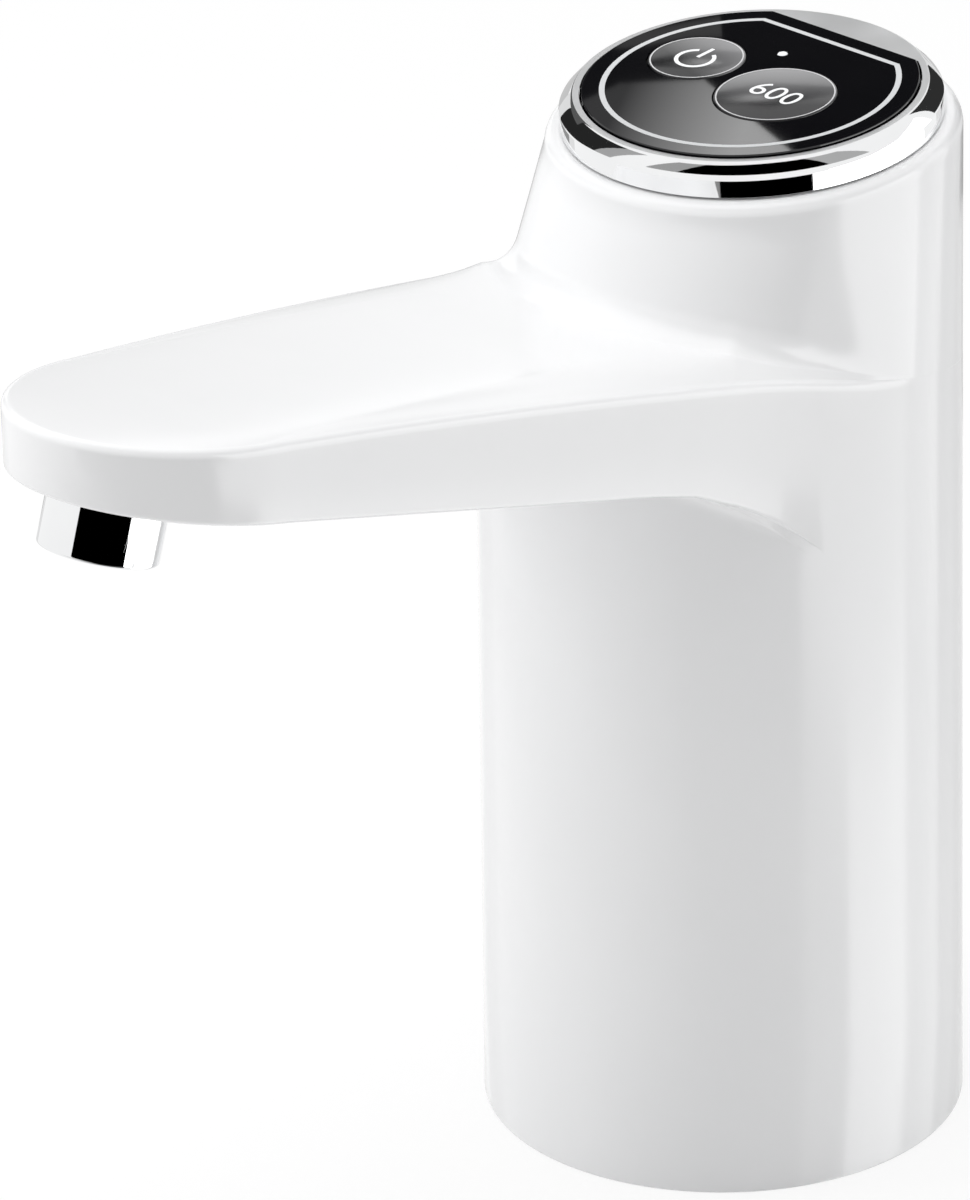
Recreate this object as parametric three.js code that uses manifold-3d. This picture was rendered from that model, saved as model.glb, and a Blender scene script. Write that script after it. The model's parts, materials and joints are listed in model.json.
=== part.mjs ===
// An electric water jug pump: a round white body that stands on the neck of a large water bottle,
// a slanted head with a chrome bezel and a black key panel, and a rising spout with a chrome nozzle.
// Inside are a diaphragm pump with its motor, a round lithium cell, a key board and a charging board.
// Millimetres, +Z up, the spout points along -Y, and the object is symmetric about X = 0 but for its keys.

import * as THREE from 'three';
import { mergeVertices } from 'three/addons/utils/BufferGeometryUtils.js';
import Module from 'manifold-3d';

const wasm = await Module();
wasm.setup();

// General fits
const gap = 0.3;              // between faces that meet
const overrun = 4;            // how far a cutting tool runs past what it cuts
const mergeTolerance = 0.0001;

// Body, drafted like a moulding
const bodyBaseRadius = 35;
const bodyTopRadius = 34.3;
const bodyDraftHeight = 150;
const wall = 2;

// Spout arm: its top face is slightly crowned, its underside is straight and then curves down to the body
const spoutReach = 129.5;     // from the body axis to the tip
const spoutTopAtAxis = 122;
const spoutTopAtTip = 146.9;
const spoutCrown = 1.6;       // how far the middle of the top stands above a straight line
const spoutAxisInset = 2.6;   // of the flank lines at the axis, from the body's top radius
const spoutHalfWidthAtAxis = bodyTopRadius - spoutAxisInset;
const spoutHalfWidthAtTip = 21.1;
const spoutTipDepth = 25.5;   // length of the half ellipse that ends the arm
const spoutUnderAtBend = 115; // height of the underside where its curve begins
const spoutBendReach = 40;
const spoutUnderAtTip = 137.4;
const spoutBendRadius = 48;
const spoutBlendRadius = 60;  // plan radius between the flank and the body
const topEdgeRadius = 2.6;
const underEdgeRadius = 1.6;
const rootFillet = 6;
const backRise = 3;           // how far the rings spread up the plain back of the body
const backRisePower = 4;
const shelfRise = 0.8;        // of the arm's top towards the head
const rootRoomShare = 0.5;    // the most of the room beside it that a fillet or edge may take
const edgeRoomShare = 0.45;

// Head, a cone that leans back; its foot is inset over the arm and flush with the body behind it
const headInset = 2.5;        // from the body's top radius
const headDraft = 2.4;        // how much narrower its top is than its foot
const headBaseRadius = bodyTopRadius - headInset;
const headBaseY = 3.4;
const headTopRadius = headBaseRadius - headDraft;
const headTopY = 6.9;
const footMergeStart = THREE.MathUtils.degToRad(62); // body angles, from the spout
const footMergeEnd = THREE.MathUtils.degToRad(100);
const headFootFillet = 3;
const rimRadius = 2.2;

// Chrome bezel and the plane of the panel
const panelTilt = THREE.MathUtils.degToRad(4);
const faceCentreY = 6.8;
const faceHeight = 154.7;
const bandMargin = 2.4;       // white lip left round the chrome band
const chamferWidth = 1.9;
const bandRadius = headTopRadius - bandMargin;
const faceRadius = bandRadius - chamferWidth;
const chamferHeight = 1.95;
const bandHeight = 2.75;
const skirtInset = 1.4;
const skirtRadius = bandRadius - skirtInset;
const skirtWall = 1.4;
const skirtDepth = 8;
const ledgeThickness = 1.5;
const ledgeWidth = 1.9;
const rimLedge = 2.5;         // thickness of the housing under the bezel

// Key panel, round with a flat back
const faceBorder = 1.35;      // chrome face left round the panel
const panelFlatDepth = 4.35;  // what the flat back edge takes off the circle
const panelRadius = faceRadius - faceBorder;
const panelChord = panelRadius - panelFlatDepth;
const panelThickness = 1.6;
const panelProud = 0.35;

// Keys and the status light, placed from the panel centre
const powerKeyMargin = 5.3;   // from the panel's edge
const amountKeyMargin = 9.35;
const keySpacing = 1.55;      // between the keys, across
const keyDifference = 3.5;    // how much wider the amount key is than the power key
const keyRowLength = panelRadius * 2 - powerKeyMargin - amountKeyMargin;
const powerKeyRadius = (keyRowLength - keySpacing - keyDifference) / 4;
const amountKeyRadius = powerKeyRadius + keyDifference / 2;
const powerKeyX = powerKeyRadius + powerKeyMargin - panelRadius;
const amountKeyX = panelRadius - amountKeyMargin - amountKeyRadius;
const powerKeyY = 1.25;
const amountKeyY = -0.95;
const keyProud = 0.1;
const keyFlangeWidth = 0.5;
const keyFlangeThickness = 0.85;
const keyStemRadius = 2.2;
const keyTravel = 0.4;
const lightRadius = 0.9;
const lightSpacing = 1.75;    // from the power key's edge, across
const lightX = powerKeyX + powerKeyRadius + lightSpacing;
const lightY = 9.65;
const lightFlangeWidth = 0.9;
const lightFlangeThickness = 1;

// Button carrier, control board and switches
const carrierThickness = 2;
const carrierDrop = 0.3;
const switchHeight = 2.6;
const switchSide = 6;
const plungerRadius = 1.6;
const plungerHeight = 2.2;
const plungerProud = 0.6;
const boardThickness = 1.6;
const boardMargin = 1.8;      // inside the bezel's skirt
const boardRadius = skirtRadius - skirtWall - boardMargin;
const postRadius = 2.3;
const postMargin = 3.8;       // from the middle of a post to the board's edge
const postReach = boardRadius - postMargin;
const postAngles = [20, 160, 262];
const ledLength = 1.6;
const ledWidth = 0.8;
const ledHeight = 0.6;

// Screws
const smallShankRadius = 0.9;
const smallHeadRadius = 1.8;
const smallHeadHeight = 1.2;
const smallScrewLength = 7;
const screwShankRadius = 1.2;
const screwHeadRadius = 2.6;
const screwHeadHeight = 1.5;
const screwLength = 11;

// Socket for the bottle neck under the body
const collarWidth = 4.7;      // from the body's wall to the bore, at the rim
const neckBoreRadius = bodyBaseRadius - wall - gap - collarWidth;
const neckRibProud = 0.6;
const neckRibHeight = 2.4;
const neckRibCount = 3;
const collarFoot = 1;
const collarTop = 31.7;
const collarGrooveDepth = 1.4;
const sealThickness = 2;
const sealWidth = 9.5;
const sealLandDepth = 0.5;    // how far the seal's inner land stands down in the bore

// Chassis floor, posts and cradle
const floorThickness = 3.5;
const bossRadius = 3.2;
const bossHeight = 14;
const bossMargin = 4.3;       // from the middle of a boss to the edge of the chassis floor
const bossAngles = [35, 145, 220, 320];
const pumpRingWall = 1.8;
const pumpRingHeight = 9;
const cellCupWall = 1.5;
const cellCupHeight = 8;
const chassisPostRadius = 3;
const chassisPostX = 16.5;
const webThickness = 1.3;

// Lithium cell
const cellRadius = 9.1;
const cellButtonRadius = 2.9;
const cellButtonHeight = 1.1;
const cellY = 17.8;

// Pump and motor, on one axis
const pumpY = -7.5;
const pumpRadius = 13.5;
const pumpHeadHeight = 6;
const valvePlateHeight = 2;
const diaphragmThickness = 1.5;
const crankcaseHeight = 13.5;
const crankcaseWall = 3.2;
const crankcaseWeb = 2;
const pumpScrewReach = 11.9;
const pumpScrewAngles = [90, 210, 330];
const pumpScrewLength = 15;
const chamberReach = 6.4;
const chamberAngles = [30, 150, 270];
const inletRadius = 3.2;
const inletBore = 2;
const inletDepth = 22;        // from the pump head down into the bottle neck
const barbProud = 0.7;
const barbPitch = 3.4;
const barbCount = 3;
const outletOffset = 5.5;     // in front of the pump head's edge
const outletY = -(pumpRadius + outletOffset) + pumpY;
const outletRadius = 1.8;
const outletBore = 1.1;
const outletHeight = 10;
const outletLugRadius = 3.6;
const motorRadius = 12;
const motorLength = 30;
const motorWall = 1;
const shaftRadius = 1;
const bushRadius = 2.4;
const bushLength = 2.2;
const rotorRadius = 8.4;
const rotorLength = 18;
const rotorSlotWidth = 2;
const rotorSlotDepth = 4.6;
const magnetThickness = 1.5;
const magnetSpan = THREE.MathUtils.degToRad(130);
const endCapHeight = 2;
const terminalHeight = 3;
const terminalWidth = 2;
const wheelRadius = 6.4;
const wheelThickness = 3;
const crankTilt = THREE.MathUtils.degToRad(6);
const crankPinRadius = 0.75;
const wobbleThickness = 1.6;
const wobbleHubRadius = 2.4;
const wobbleHubHeight = 3.4;
const wobbleArmWidth = 4;
const wobbleHeight = 52.4;    // underside of the wobble plate
const wobbleCentre = 47.8;    // the point that the plate nutates about

// Top bracket
const bracketThickness = 2;
const boardStandoff = 3;      // from the bracket up to the charging board
const bracketSleeveWall = 1.4;
const cellSleeveLength = 6;
const motorSleeveLength = 16;

// Delivery hose
const hoseRadius = 2.9;
const hoseBore = 2.1;
const hoseBendRadius = 14;
const hoseBendHeight = 110;
const hoseSlope = 0.2;

// Nozzle, leaning outwards
const nozzleLean = THREE.MathUtils.degToRad(18);
const nozzleReach = 116.8;
const nozzleRadius = 8.4;
const nozzleWall = 2;
const nozzleLength = 9;
const nozzleEdge = 0.5;
const nozzleFlangeWidth = 1.3;
const nozzleFlangeThickness = 0.6;
const adapterWall = 1.5;
const adapterHeight = 7.5;
const adapterDrop = 5;
const straightenerHeight = 2.6;
const straightenerHoleRadius = 1.1;
const straightenerHoleReach = 3.6;
const straightenerHoleCount = 6;
const hoseBarbLength = 9;

// Cover under the spout
const coverStart = 47;        // nearest edge to the body axis
const coverInset = 3.4;
const coverThickness = 1.8;
const coverScrewReach = 60;
const coverScrewX = 13;
const coverBossRadius = 2.9;

// Charging socket and its rubber cover, at the back
const portHeight = 112.6;
const portWidth = 8.9;
const portThickness = 3.2;
const portDepth = 7.4;
const portWall = 0.4;
const portTongueThickness = 0.7;
const portBoardLength = 14;
const portBoardWidth = 19;
const portBoardThickness = 1.2;
const portPadWidth = 16;
const portPadHeight = 9;
const portPadDepth = 2.8;
const coverFlapWidth = 14;
const coverFlapHeight = 7.2;
const coverFlapThickness = 0.8;
const flapPlugWidth = 6.4;
const flapPlugHeight = 1.8;
const flapPlugDepth = 1.5;
const flapHingeGap = 1.2;

// Facet counts
const wideSides = 48;
const nozzleSides = 36;
const roundSides = 24;
const middleSides = 12;
const smallSides = 8;
const outerColumns = { tip: 7, flank: 2, blend: 3, back: 10 };
const innerColumns = { tip: 4, flank: 2, blend: 2, back: 8 };
const shelfSteps = 2;
const underSteps = 2;
const hoseBendSteps = 6;
const hoseSteps = 22;
const hoseSides = 4;

// Finishes
const whiteShell = new THREE.MeshStandardMaterial({ color: 0xf1f2f2, roughness: 0.32, metalness: 0 });
const innerPlastic = new THREE.MeshStandardMaterial({ color: 0xd9dcdd, roughness: 0.5, metalness: 0 });
const darkPlastic = new THREE.MeshStandardMaterial({ color: 0x26282a, roughness: 0.5, metalness: 0 });
const panelGloss = new THREE.MeshStandardMaterial({ color: 0x08090a, roughness: 0.08, metalness: 0 });
const keyGloss = new THREE.MeshStandardMaterial({ color: 0x2c2d2f, roughness: 0.15, metalness: 0 });
const chrome = new THREE.MeshStandardMaterial({ color: 0xe4e6e8, roughness: 0.05, metalness: 1 });
const steel = new THREE.MeshStandardMaterial({ color: 0xb4b8bc, roughness: 0.3, metalness: 1 });
const bronze = new THREE.MeshStandardMaterial({ color: 0xb08a4e, roughness: 0.4, metalness: 1 });
const magnetGrey = new THREE.MeshStandardMaterial({ color: 0x3f4246, roughness: 0.6, metalness: 0.2 });
const boardGreen = new THREE.MeshStandardMaterial({ color: 0x1f5c3a, roughness: 0.45, metalness: 0 });
const siliconeClear = new THREE.MeshStandardMaterial({ color: 0xe9eef0, roughness: 0.35, metalness: 0 });
const siliconeWhite = new THREE.MeshStandardMaterial({ color: 0xdfe2e3, roughness: 0.6, metalness: 0 });
const cellBlue = new THREE.MeshStandardMaterial({ color: 0x2a63a8, roughness: 0.35, metalness: 0 });
const lightWhite = new THREE.MeshStandardMaterial({ color: 0xf7f9fb, roughness: 0.2, metalness: 0 });

const deg = THREE.MathUtils.degToRad;
const lerp = THREE.MathUtils.lerp;

// Geometry helpers

// A merged copy of a geometry as a plain vertex and triangle list, facing out
function plainMesh(geometry) {
  const bare = geometry.clone();
  bare.deleteAttribute('normal');
  bare.deleteAttribute('uv');
  const merged = mergeVertices(bare, mergeTolerance);
  const places = merged.attributes.position.array;
  const corners = merged.index.array;
  const kept = [];
  let volume = 0;
  const a = new THREE.Vector3();
  const b = new THREE.Vector3();
  const c = new THREE.Vector3();
  for (let i = 0; i < corners.length; i += 3) {
    const [p, q, r] = [corners[i], corners[i + 1], corners[i + 2]];
    if (p === q || q === r || r === p) continue;
    kept.push(p, q, r);
    a.fromArray(places, p * 3);
    b.fromArray(places, q * 3);
    c.fromArray(places, r * 3);
    volume += a.dot(b.cross(c));
  }
  if (volume < 0) kept.reverse();
  return { places: new Float32Array(places), corners: new Uint32Array(kept) };
}

function toSolid(geometry) {
  const { places, corners } = plainMesh(geometry);
  return new wasm.Manifold(new wasm.Mesh({ numProp: 3, vertProperties: places, triVerts: corners }));
}

function toGeometry(solid) {
  const mesh = solid.getMesh();
  const geometry = new THREE.BufferGeometry();
  geometry.setAttribute('position', new THREE.BufferAttribute(new Float32Array(mesh.vertProperties), 3));
  geometry.setIndex(new THREE.BufferAttribute(new Uint32Array(mesh.triVerts), 1));
  geometry.computeVertexNormals();
  return geometry;
}

function join(...geometries) {
  return geometries.map(toSolid).reduce((whole, next) => whole.add(next));
}

function cut(solid, ...geometries) {
  return geometries.map(toSolid).reduce((whole, next) => whole.subtract(next), solid);
}

// A closed profile of [radius, height] pairs turned about the Z axis
function turned(profile, sides = roundSides) {
  const points = profile.map(([radius, height]) => new THREE.Vector2(radius, height));
  const first = profile[0];
  const last = profile[profile.length - 1];
  if (first[0] > 0 || last[0] > 0) points.push(points[0].clone());
  return new THREE.LatheGeometry(points, sides).rotateX(Math.PI / 2);
}

function disc(radius, low, high, sides = roundSides) {
  return turned([[0, low], [radius, low], [radius, high], [0, high]], sides);
}

function ring(inner, outer, low, high, sides = roundSides) {
  return turned([[inner, low], [outer, low], [outer, high], [inner, high]], sides);
}

function block(xLow, xHigh, yLow, yHigh, zLow, zHigh) {
  const box = new THREE.BoxGeometry(xHigh - xLow, yHigh - yLow, zHigh - zLow);
  return box.translate((xLow + xHigh) / 2, (yLow + yHigh) / 2, (zLow + zHigh) / 2);
}

function extruded(outline, low, high) {
  const shape = new THREE.Shape(outline.map(([x, y]) => new THREE.Vector2(x, y)));
  const solid = new THREE.ExtrudeGeometry(shape,
      { depth: high - low, bevelEnabled: false, curveSegments: 1 });
  return solid.translate(0, 0, low);
}

// A side profile of [reach, height] pairs, extruded across the whole width of the object
function sideProfile(points, halfWidth) {
  const solid = extruded(points, -halfWidth, halfWidth);
  // plan reach runs along -Y, height along Z
  const turn = new THREE.Matrix4().makeBasis(
    new THREE.Vector3(0, -1, 0), new THREE.Vector3(0, 0, 1), new THREE.Vector3(-1, 0, 0));
  return solid.applyMatrix4(turn);
}

function around(reach, angle) {
  return [reach * Math.cos(deg(angle)), reach * Math.sin(deg(angle))];
}

// Frames of the tilted top and of the leaning nozzle
const topFrame = new THREE.Object3D();
topFrame.position.set(0, faceCentreY, faceHeight);
topFrame.rotation.x = panelTilt;
topFrame.updateMatrix();

const nozzleFrame = new THREE.Object3D();
nozzleFrame.position.set(0, -nozzleReach, underHeight(nozzleReach));
nozzleFrame.rotation.x = -nozzleLean;
nozzleFrame.updateMatrix();

// The body and the arm

function bodyRadius(height) {
  return lerp(bodyBaseRadius, bodyTopRadius, height / bodyDraftHeight);
}

function topHeight(reach) {
  const share = reach / spoutReach;
  return lerp(spoutTopAtAxis, spoutTopAtTip, share) + spoutCrown * (1 - (2 * share - 1) ** 2);
}

function underSlope() {
  return (spoutUnderAtTip - spoutUnderAtBend) / (spoutReach - spoutBendReach);
}

// The underside: straight outside the bend, a round curve inside it, down to a vertical tangent
function underHeight(reach) {
  if (reach >= spoutBendReach) return spoutUnderAtBend + underSlope() * (reach - spoutBendReach);
  const startAngle = Math.atan(underSlope());
  const sine = Math.min(Math.sin(startAngle) + (spoutBendReach - reach) / spoutBendRadius, 1);
  return spoutUnderAtBend - spoutBendRadius * (Math.cos(startAngle) - Math.sqrt(1 - sine * sine));
}

function flankHalfWidth(reach) {
  const tipStart = spoutReach - spoutTipDepth;
  return lerp(spoutHalfWidthAtAxis, spoutHalfWidthAtTip, reach / tipStart);
}

// Where the plan blend leaves the body circle and meets the flank
function planBlend() {
  const tipStart = spoutReach - spoutTipDepth;
  const taper = Math.atan((spoutHalfWidthAtAxis - spoutHalfWidthAtTip) / tipStart);
  const radius = bodyRadius(spoutUnderAtBend);
  const flankDistance = spoutHalfWidthAtAxis * Math.cos(taper);
  const turn = Math.acos((flankDistance + spoutBlendRadius) / (radius + spoutBlendRadius));
  const angle = taper + turn;
  const centreX = (radius + spoutBlendRadius) * Math.cos(angle);
  const centreReach = (radius + spoutBlendRadius) * Math.sin(angle);
  return { taper, angle, centreX, centreReach };
}

// Half of the plan outline from the tip to the back, as [x, reach, body angle from the front]
function halfOutline(columns) {
  const blend = planBlend();
  const tipStart = spoutReach - spoutTipDepth;
  const tipHalf = spoutHalfWidthAtTip;
  const places = [];
  for (let i = 0; i <= columns.tip; i += 1) {
    const angle = (Math.PI / 2) * (i / columns.tip);
    places.push([tipHalf * Math.sin(angle), tipStart + spoutTipDepth * Math.cos(angle)]);
  }
  const flankEnd = blend.centreReach - spoutBlendRadius * Math.sin(blend.taper);
  for (let i = 1; i <= columns.flank; i += 1) {
    const reach = lerp(tipStart, flankEnd, i / columns.flank);
    places.push([flankHalfWidth(reach), reach]);
  }
  for (let i = 1; i <= columns.blend; i += 1) {
    const angle = lerp(blend.taper, blend.angle, i / columns.blend);
    places.push([
      blend.centreX - spoutBlendRadius * Math.cos(angle),
      blend.centreReach - spoutBlendRadius * Math.sin(angle),
    ]);
  }
  const last = places.length - 1;
  const rootAngle = Math.PI / 2 - blend.angle;
  const outline = places.map(([x, reach],
      i) => ({ x, reach, angle: rootAngle * (i / last), onBody: i === last }));
  for (let i = 1; i <= columns.back; i += 1) {
    const angle = lerp(rootAngle, Math.PI, i / columns.back);
    outline.push({ angle, onBody: true });
  }
  return outline;
}

// The whole plan outline at one inset from the surface, with the column angles about the body axis
function planColumns(columns, inset) {
  const half = halfOutline(columns);
  const radius = bodyRadius(spoutUnderAtBend);
  const placed = half.map((column) => (column.onBody
    ? { ...column, x: radius * Math.sin(column.angle), reach: radius * Math.cos(column.angle) }
    : column));
  const mirrored = placed.slice(1, -1).reverse()
    .map((column) => ({ ...column, x: -column.x, angle: 2 * Math.PI - column.angle }));
  const all = [...placed, ...mirrored];
  const armShare = (column) => {
    const angle = Math.min(column.angle, 2 * Math.PI - column.angle);
    return Math.min(angle / (Math.PI / 2 - planBlend().angle), 1);
  };
  return all.map((column, i) => {
    const before = all[(i + all.length - 1) % all.length];
    const after = all[(i + 1) % all.length];
    const along = new THREE.Vector2(after.x - before.x, after.reach - before.reach).normalize();
    let normal = new THREE.Vector2(-along.y, along.x);
    if (column.onBody) normal = new THREE.Vector2(Math.sin(column.angle), Math.cos(column.angle));
    if (normal.x * column.x + normal.y * column.reach < 0) normal.negate();
    return {
      x: column.x - normal.x * inset,
      reach: column.reach - normal.y * inset,
      normal,
      angle: column.angle,
      onBody: column.onBody,
      share: armShare(column),
    };
  });
}

// Closed rings up the outside of the body, along the underside, round the arm, over its top and up the head
function skinRings(inset, steps) {
  const columns = planColumns(steps.columns, inset);
  const drop = inset / Math.cos(Math.atan(underSlope()));
  const rings = [];
  const addRing = (placeOf) => rings.push(columns.map(placeOf));

  const bodyPlace = (column, height) => {
    const radius = bodyRadius(height) - inset;
    return [radius * Math.sin(column.angle), radius * Math.cos(column.angle)];
  };
  const rootReach = bodyRadius(spoutUnderAtBend) * Math.sin(planBlend().angle) - inset;
  const under = (column, reach) => underHeight(column.onBody ? rootReach : reach) + drop;
  const spread = (column) => backRise * column.share ** backRisePower;
  const towards = (from, to, share) => [lerp(from[0], to[0], share), lerp(from[1], to[1], share)];
  const distance = (from, to) => Math.hypot(to[0] - from[0], to[1] - from[1]);
  const outlinePlace = (column, extra) => [column.x - column.normal.x * extra,
      column.reach - column.normal.y * extra];

  // bottom edge of the body
  const footHeight = inset > 0 ? -overrun : 0;
  addRing((column) => {
    const [x, reach] = bodyPlace(column, 0);
    return [x, -reach, footHeight];
  });

  // the fillet between the body and the underside
  const junction = (column) => {
    const [x, reach] = bodyPlace(column, under(column, bodyBaseRadius));
    return [x, reach];
  };
  const rootPush = (column) => {
    const room = distance(junction(column), outlinePlace(column, underEdgeRadius));
    return room > 0 ? Math.min(rootFillet / room, rootRoomShare) : 0;
  };
  for (const turn of steps.filletTurns) {
    addRing((column) => {
      const push = column.onBody ? 0 : rootPush(column) * (1 - Math.cos(turn));
      const [x, reach] = towards(junction(column), outlinePlace(column, underEdgeRadius), push);
      return [x, -reach, under(column, reach) - rootFillet * (1 - Math.sin(turn))];
    });
  }

  // the underside of the arm, out to its rounded lower edge
  for (let i = 1; i <= steps.under; i += 1) {
    addRing((column) => {
      const share = lerp(column.onBody ? 0 : rootPush(column), 1, i / steps.under);
      const [x, reach] = towards(junction(column), outlinePlace(column, underEdgeRadius),
          column.onBody ? 0 : share);
      return [x, -reach, under(column, reach) + spread(column) * (i / steps.under)];
    });
  }
  for (const turn of steps.edgeTurns) {
    addRing((column) => {
      const extra = column.onBody ? 0 : underEdgeRadius * (1 - Math.sin(turn));
      const [x, reach] = column.onBody ? junction(column) : outlinePlace(column, extra);
      return [x, -reach, under(column, reach) + spread(column) + underEdgeRadius * (1 - Math.cos(turn))];
    });
  }

  // the flank and the rounded upper edge
  const headFoot = (column) => {
    const radius = headBaseRadius - inset;
    const inner = [radius * Math.sin(column.angle), radius * Math.cos(column.angle) - headBaseY];
    const turn = Math.min(column.angle, 2 * Math.PI - column.angle);
    const merge = THREE.MathUtils.smoothstep(turn, footMergeStart, footMergeEnd);
    return towards(inner, bodyPlace(column, spoutTopAtAxis), merge);
  };
  const topInset = (column) => Math.min(
    topEdgeRadius, edgeRoomShare * distance(outlinePlace(column, 0), headFoot(column)));
  const shoulder = (column) => (column.onBody
    ? bodyPlace(column, topHeight(column.reach))
    : outlinePlace(column, 0));
  const pushIn = (column, amount) => {
    const [x, reach] = shoulder(column);
    return [x - column.normal.x * amount, reach - column.normal.y * amount];
  };
  for (const turn of steps.topTurns) {
    addRing((column) => {
      const [x, reach] = pushIn(column, topInset(column) * (1 - Math.cos(turn)));
      return [x, -reach, topHeight(reach) - drop - topEdgeRadius * (1 - Math.sin(turn))];
    });
  }

  // the top of the arm, in to the foot of the head
  const footPush = (column) => {
    const room = distance(pushIn(column, topInset(column)), headFoot(column));
    return room > 0 ? Math.min(headFootFillet / room, edgeRoomShare) : 0;
  };
  const shelf = (column, share) => towards(pushIn(column, topInset(column)), headFoot(column), share);
  for (let i = 1; i <= steps.shelf; i += 1) {
    addRing((column) => {
      const [x, reach] = shelf(column, (1 - footPush(column)) * (i / steps.shelf));
      return [x, -reach, topHeight(reach) - drop + shelfRise * (i / steps.shelf)];
    });
  }

  // up the head to the rim
  const rimPlace = (column, radius, height) => {
    const back = headTopY - faceCentreY;
    const place = new THREE.Vector3(radius * Math.sin(column.angle),
        back - radius * Math.cos(column.angle), height);
    return place.applyMatrix4(topFrame.matrix);
  };
  const rimHeight = -(chamferHeight + bandHeight + gap);
  const headTop = inset > 0 ? rimHeight - rimLedge : rimHeight - rimRadius;
  const headPlace = (column, share) => {
    const [x, reach] = headFoot(column);
    const foot = new THREE.Vector3(x, -reach, topHeight(reach) - drop + shelfRise);
    return foot.lerp(rimPlace(column, headTopRadius - inset, headTop), share);
  };
  for (const turn of steps.footTurns) {
    addRing((column) => {
      const share = footPush(column) * (1 - Math.sin(turn));
      const [x, reach] = shelf(column, 1 - share);
      const height = topHeight(reach) - drop + shelfRise + headFootFillet * (1 - Math.cos(turn));
      const lean = headPlace(column,
          (headFootFillet * (1 - Math.cos(turn))) / (faceHeight - spoutTopAtAxis));
      const plain = headPlace(column, 0);
      return [x + lean.x - plain.x, -reach + lean.y - plain.y, height];
    });
  }
  addRing((column) => headPlace(column, 1).toArray());
  if (inset === 0) {
    for (const turn of steps.rimTurns) {
      const radius = headTopRadius - rimRadius * (1 - Math.cos(turn));
      const height = rimHeight - rimRadius * (1 - Math.sin(turn));
      addRing((column) => rimPlace(column, radius, height).toArray());
    }
  }
  return rings;
}

// A closed surface through rings of as many points each, with a fan at either end
function lofted(rings) {
  const count = rings[0].length;
  const places = [];
  const corners = [];
  rings.forEach((points) => points.forEach((point) => places.push(...point)));
  for (let k = 0; k < rings.length - 1; k += 1) {
    for (let i = 0; i < count; i += 1) {
      const next = (i + 1) % count;
      const a = k * count + i;
      const b = k * count + next;
      corners.push(a, b, b + count, a, b + count, a + count);
    }
  }
  const fan = (start, flip) => {
    const centre = new THREE.Vector3();
    for (let i = 0; i < count; i += 1) centre.add(new THREE.Vector3().fromArray(places, (start + i) * 3));
    centre.divideScalar(count);
    const middle = places.length / 3;
    places.push(centre.x, centre.y, centre.z);
    for (let i = 0; i < count; i += 1) {
      const next = (i + 1) % count;
      corners.push(...(flip ? [middle, start + next, start + i] : [middle, start + i, start + next]));
    }
  };
  fan(0, true);
  fan((rings.length - 1) * count, false);
  const geometry = new THREE.BufferGeometry();
  geometry.setAttribute('position', new THREE.Float32BufferAttribute(places, 3));
  geometry.setIndex(corners);
  return geometry;
}

const quarter = Math.PI / 2;
const outerSteps = {
  columns: outerColumns,
  filletTurns: [0, quarter / 2, quarter], under: underSteps, edgeTurns: [quarter / 2, quarter],
  topTurns: [0, quarter / 3, (2 * quarter) / 3, quarter], shelf: shelfSteps, footTurns: [quarter / 2,
      quarter],
  rimTurns: [quarter / 3, (2 * quarter) / 3, quarter],
};
const innerSteps = {
  ...outerSteps, columns: innerColumns, filletTurns: [0, quarter], edgeTurns: [quarter], topTurns: [0,
      quarter], footTurns: [quarter],
  rimTurns: [],
};

// Heights of the parts stacked inside, from the neck socket upwards
const floorBottom = collarTop + gap + sealThickness + gap;
const floorTop = floorBottom + floorThickness;
const pumpHeadBottom = floorTop + gap;
const pumpHeadTop = pumpHeadBottom + pumpHeadHeight;
const valveBottom = pumpHeadTop + gap;
const valveTop = valveBottom + valvePlateHeight;
const diaphragmBottom = valveTop + gap;
const diaphragmTop = diaphragmBottom + diaphragmThickness;
const crankcaseBottom = diaphragmTop + gap;
const crankcaseTop = crankcaseBottom + crankcaseHeight;
const motorBottom = crankcaseTop + gap;
const motorTop = motorBottom + motorLength;
const endCapTop = motorTop + gap + endCapHeight;
const cellBottom = floorTop + gap;
const portBoardTop = portHeight - portThickness / 2 - gap;
const portBoardBottom = portBoardTop - portBoardThickness;
const bracketTop = portBoardBottom - boardStandoff;
const bracketBottom = bracketTop - bracketThickness;
const cellTop = bracketBottom - gap - cellButtonHeight; // the cell is 65 mm long
const webY = (pumpY + pumpRadius + cellY - cellRadius) / 2; // between the pump and the cell
const postTop = bracketBottom - gap;

// Depths below the bezel face, in the tilted frame of the top
const panelTop = panelProud;
const panelBottom = panelTop - panelThickness;
const ledgeTop = panelBottom - gap;
const ledgeBottom = ledgeTop - ledgeThickness;
const carrierTop = ledgeBottom - carrierDrop;
const carrierBottom = carrierTop - carrierThickness;
const keyTop = panelTop + keyProud;
const keyFlangeTop = panelBottom - gap;
const keyFlangeBottom = keyFlangeTop - keyFlangeThickness;
const keyStemBottom = carrierBottom - keyTravel - gap;
const plungerTop = keyStemBottom - gap;
const switchTop = plungerTop - plungerProud;
const switchBottom = switchTop - switchHeight;
const boardTop = switchBottom - gap;
const boardBottom = boardTop - boardThickness;

// Finishing a piece: a named mesh in a group
function piece(group, name, shape, material) {
  const geometry = shape.isBufferGeometry ? toGeometry(toSolid(shape)) : toGeometry(shape);
  const mesh = new THREE.Mesh(geometry, material);
  mesh.name = name;
  group.add(mesh);
}

function inTop(geometry) {
  return geometry.clone().applyMatrix4(topFrame.matrix);
}

function inNozzle(geometry) {
  return geometry.clone().applyMatrix4(nozzleFrame.matrix);
}

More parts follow.
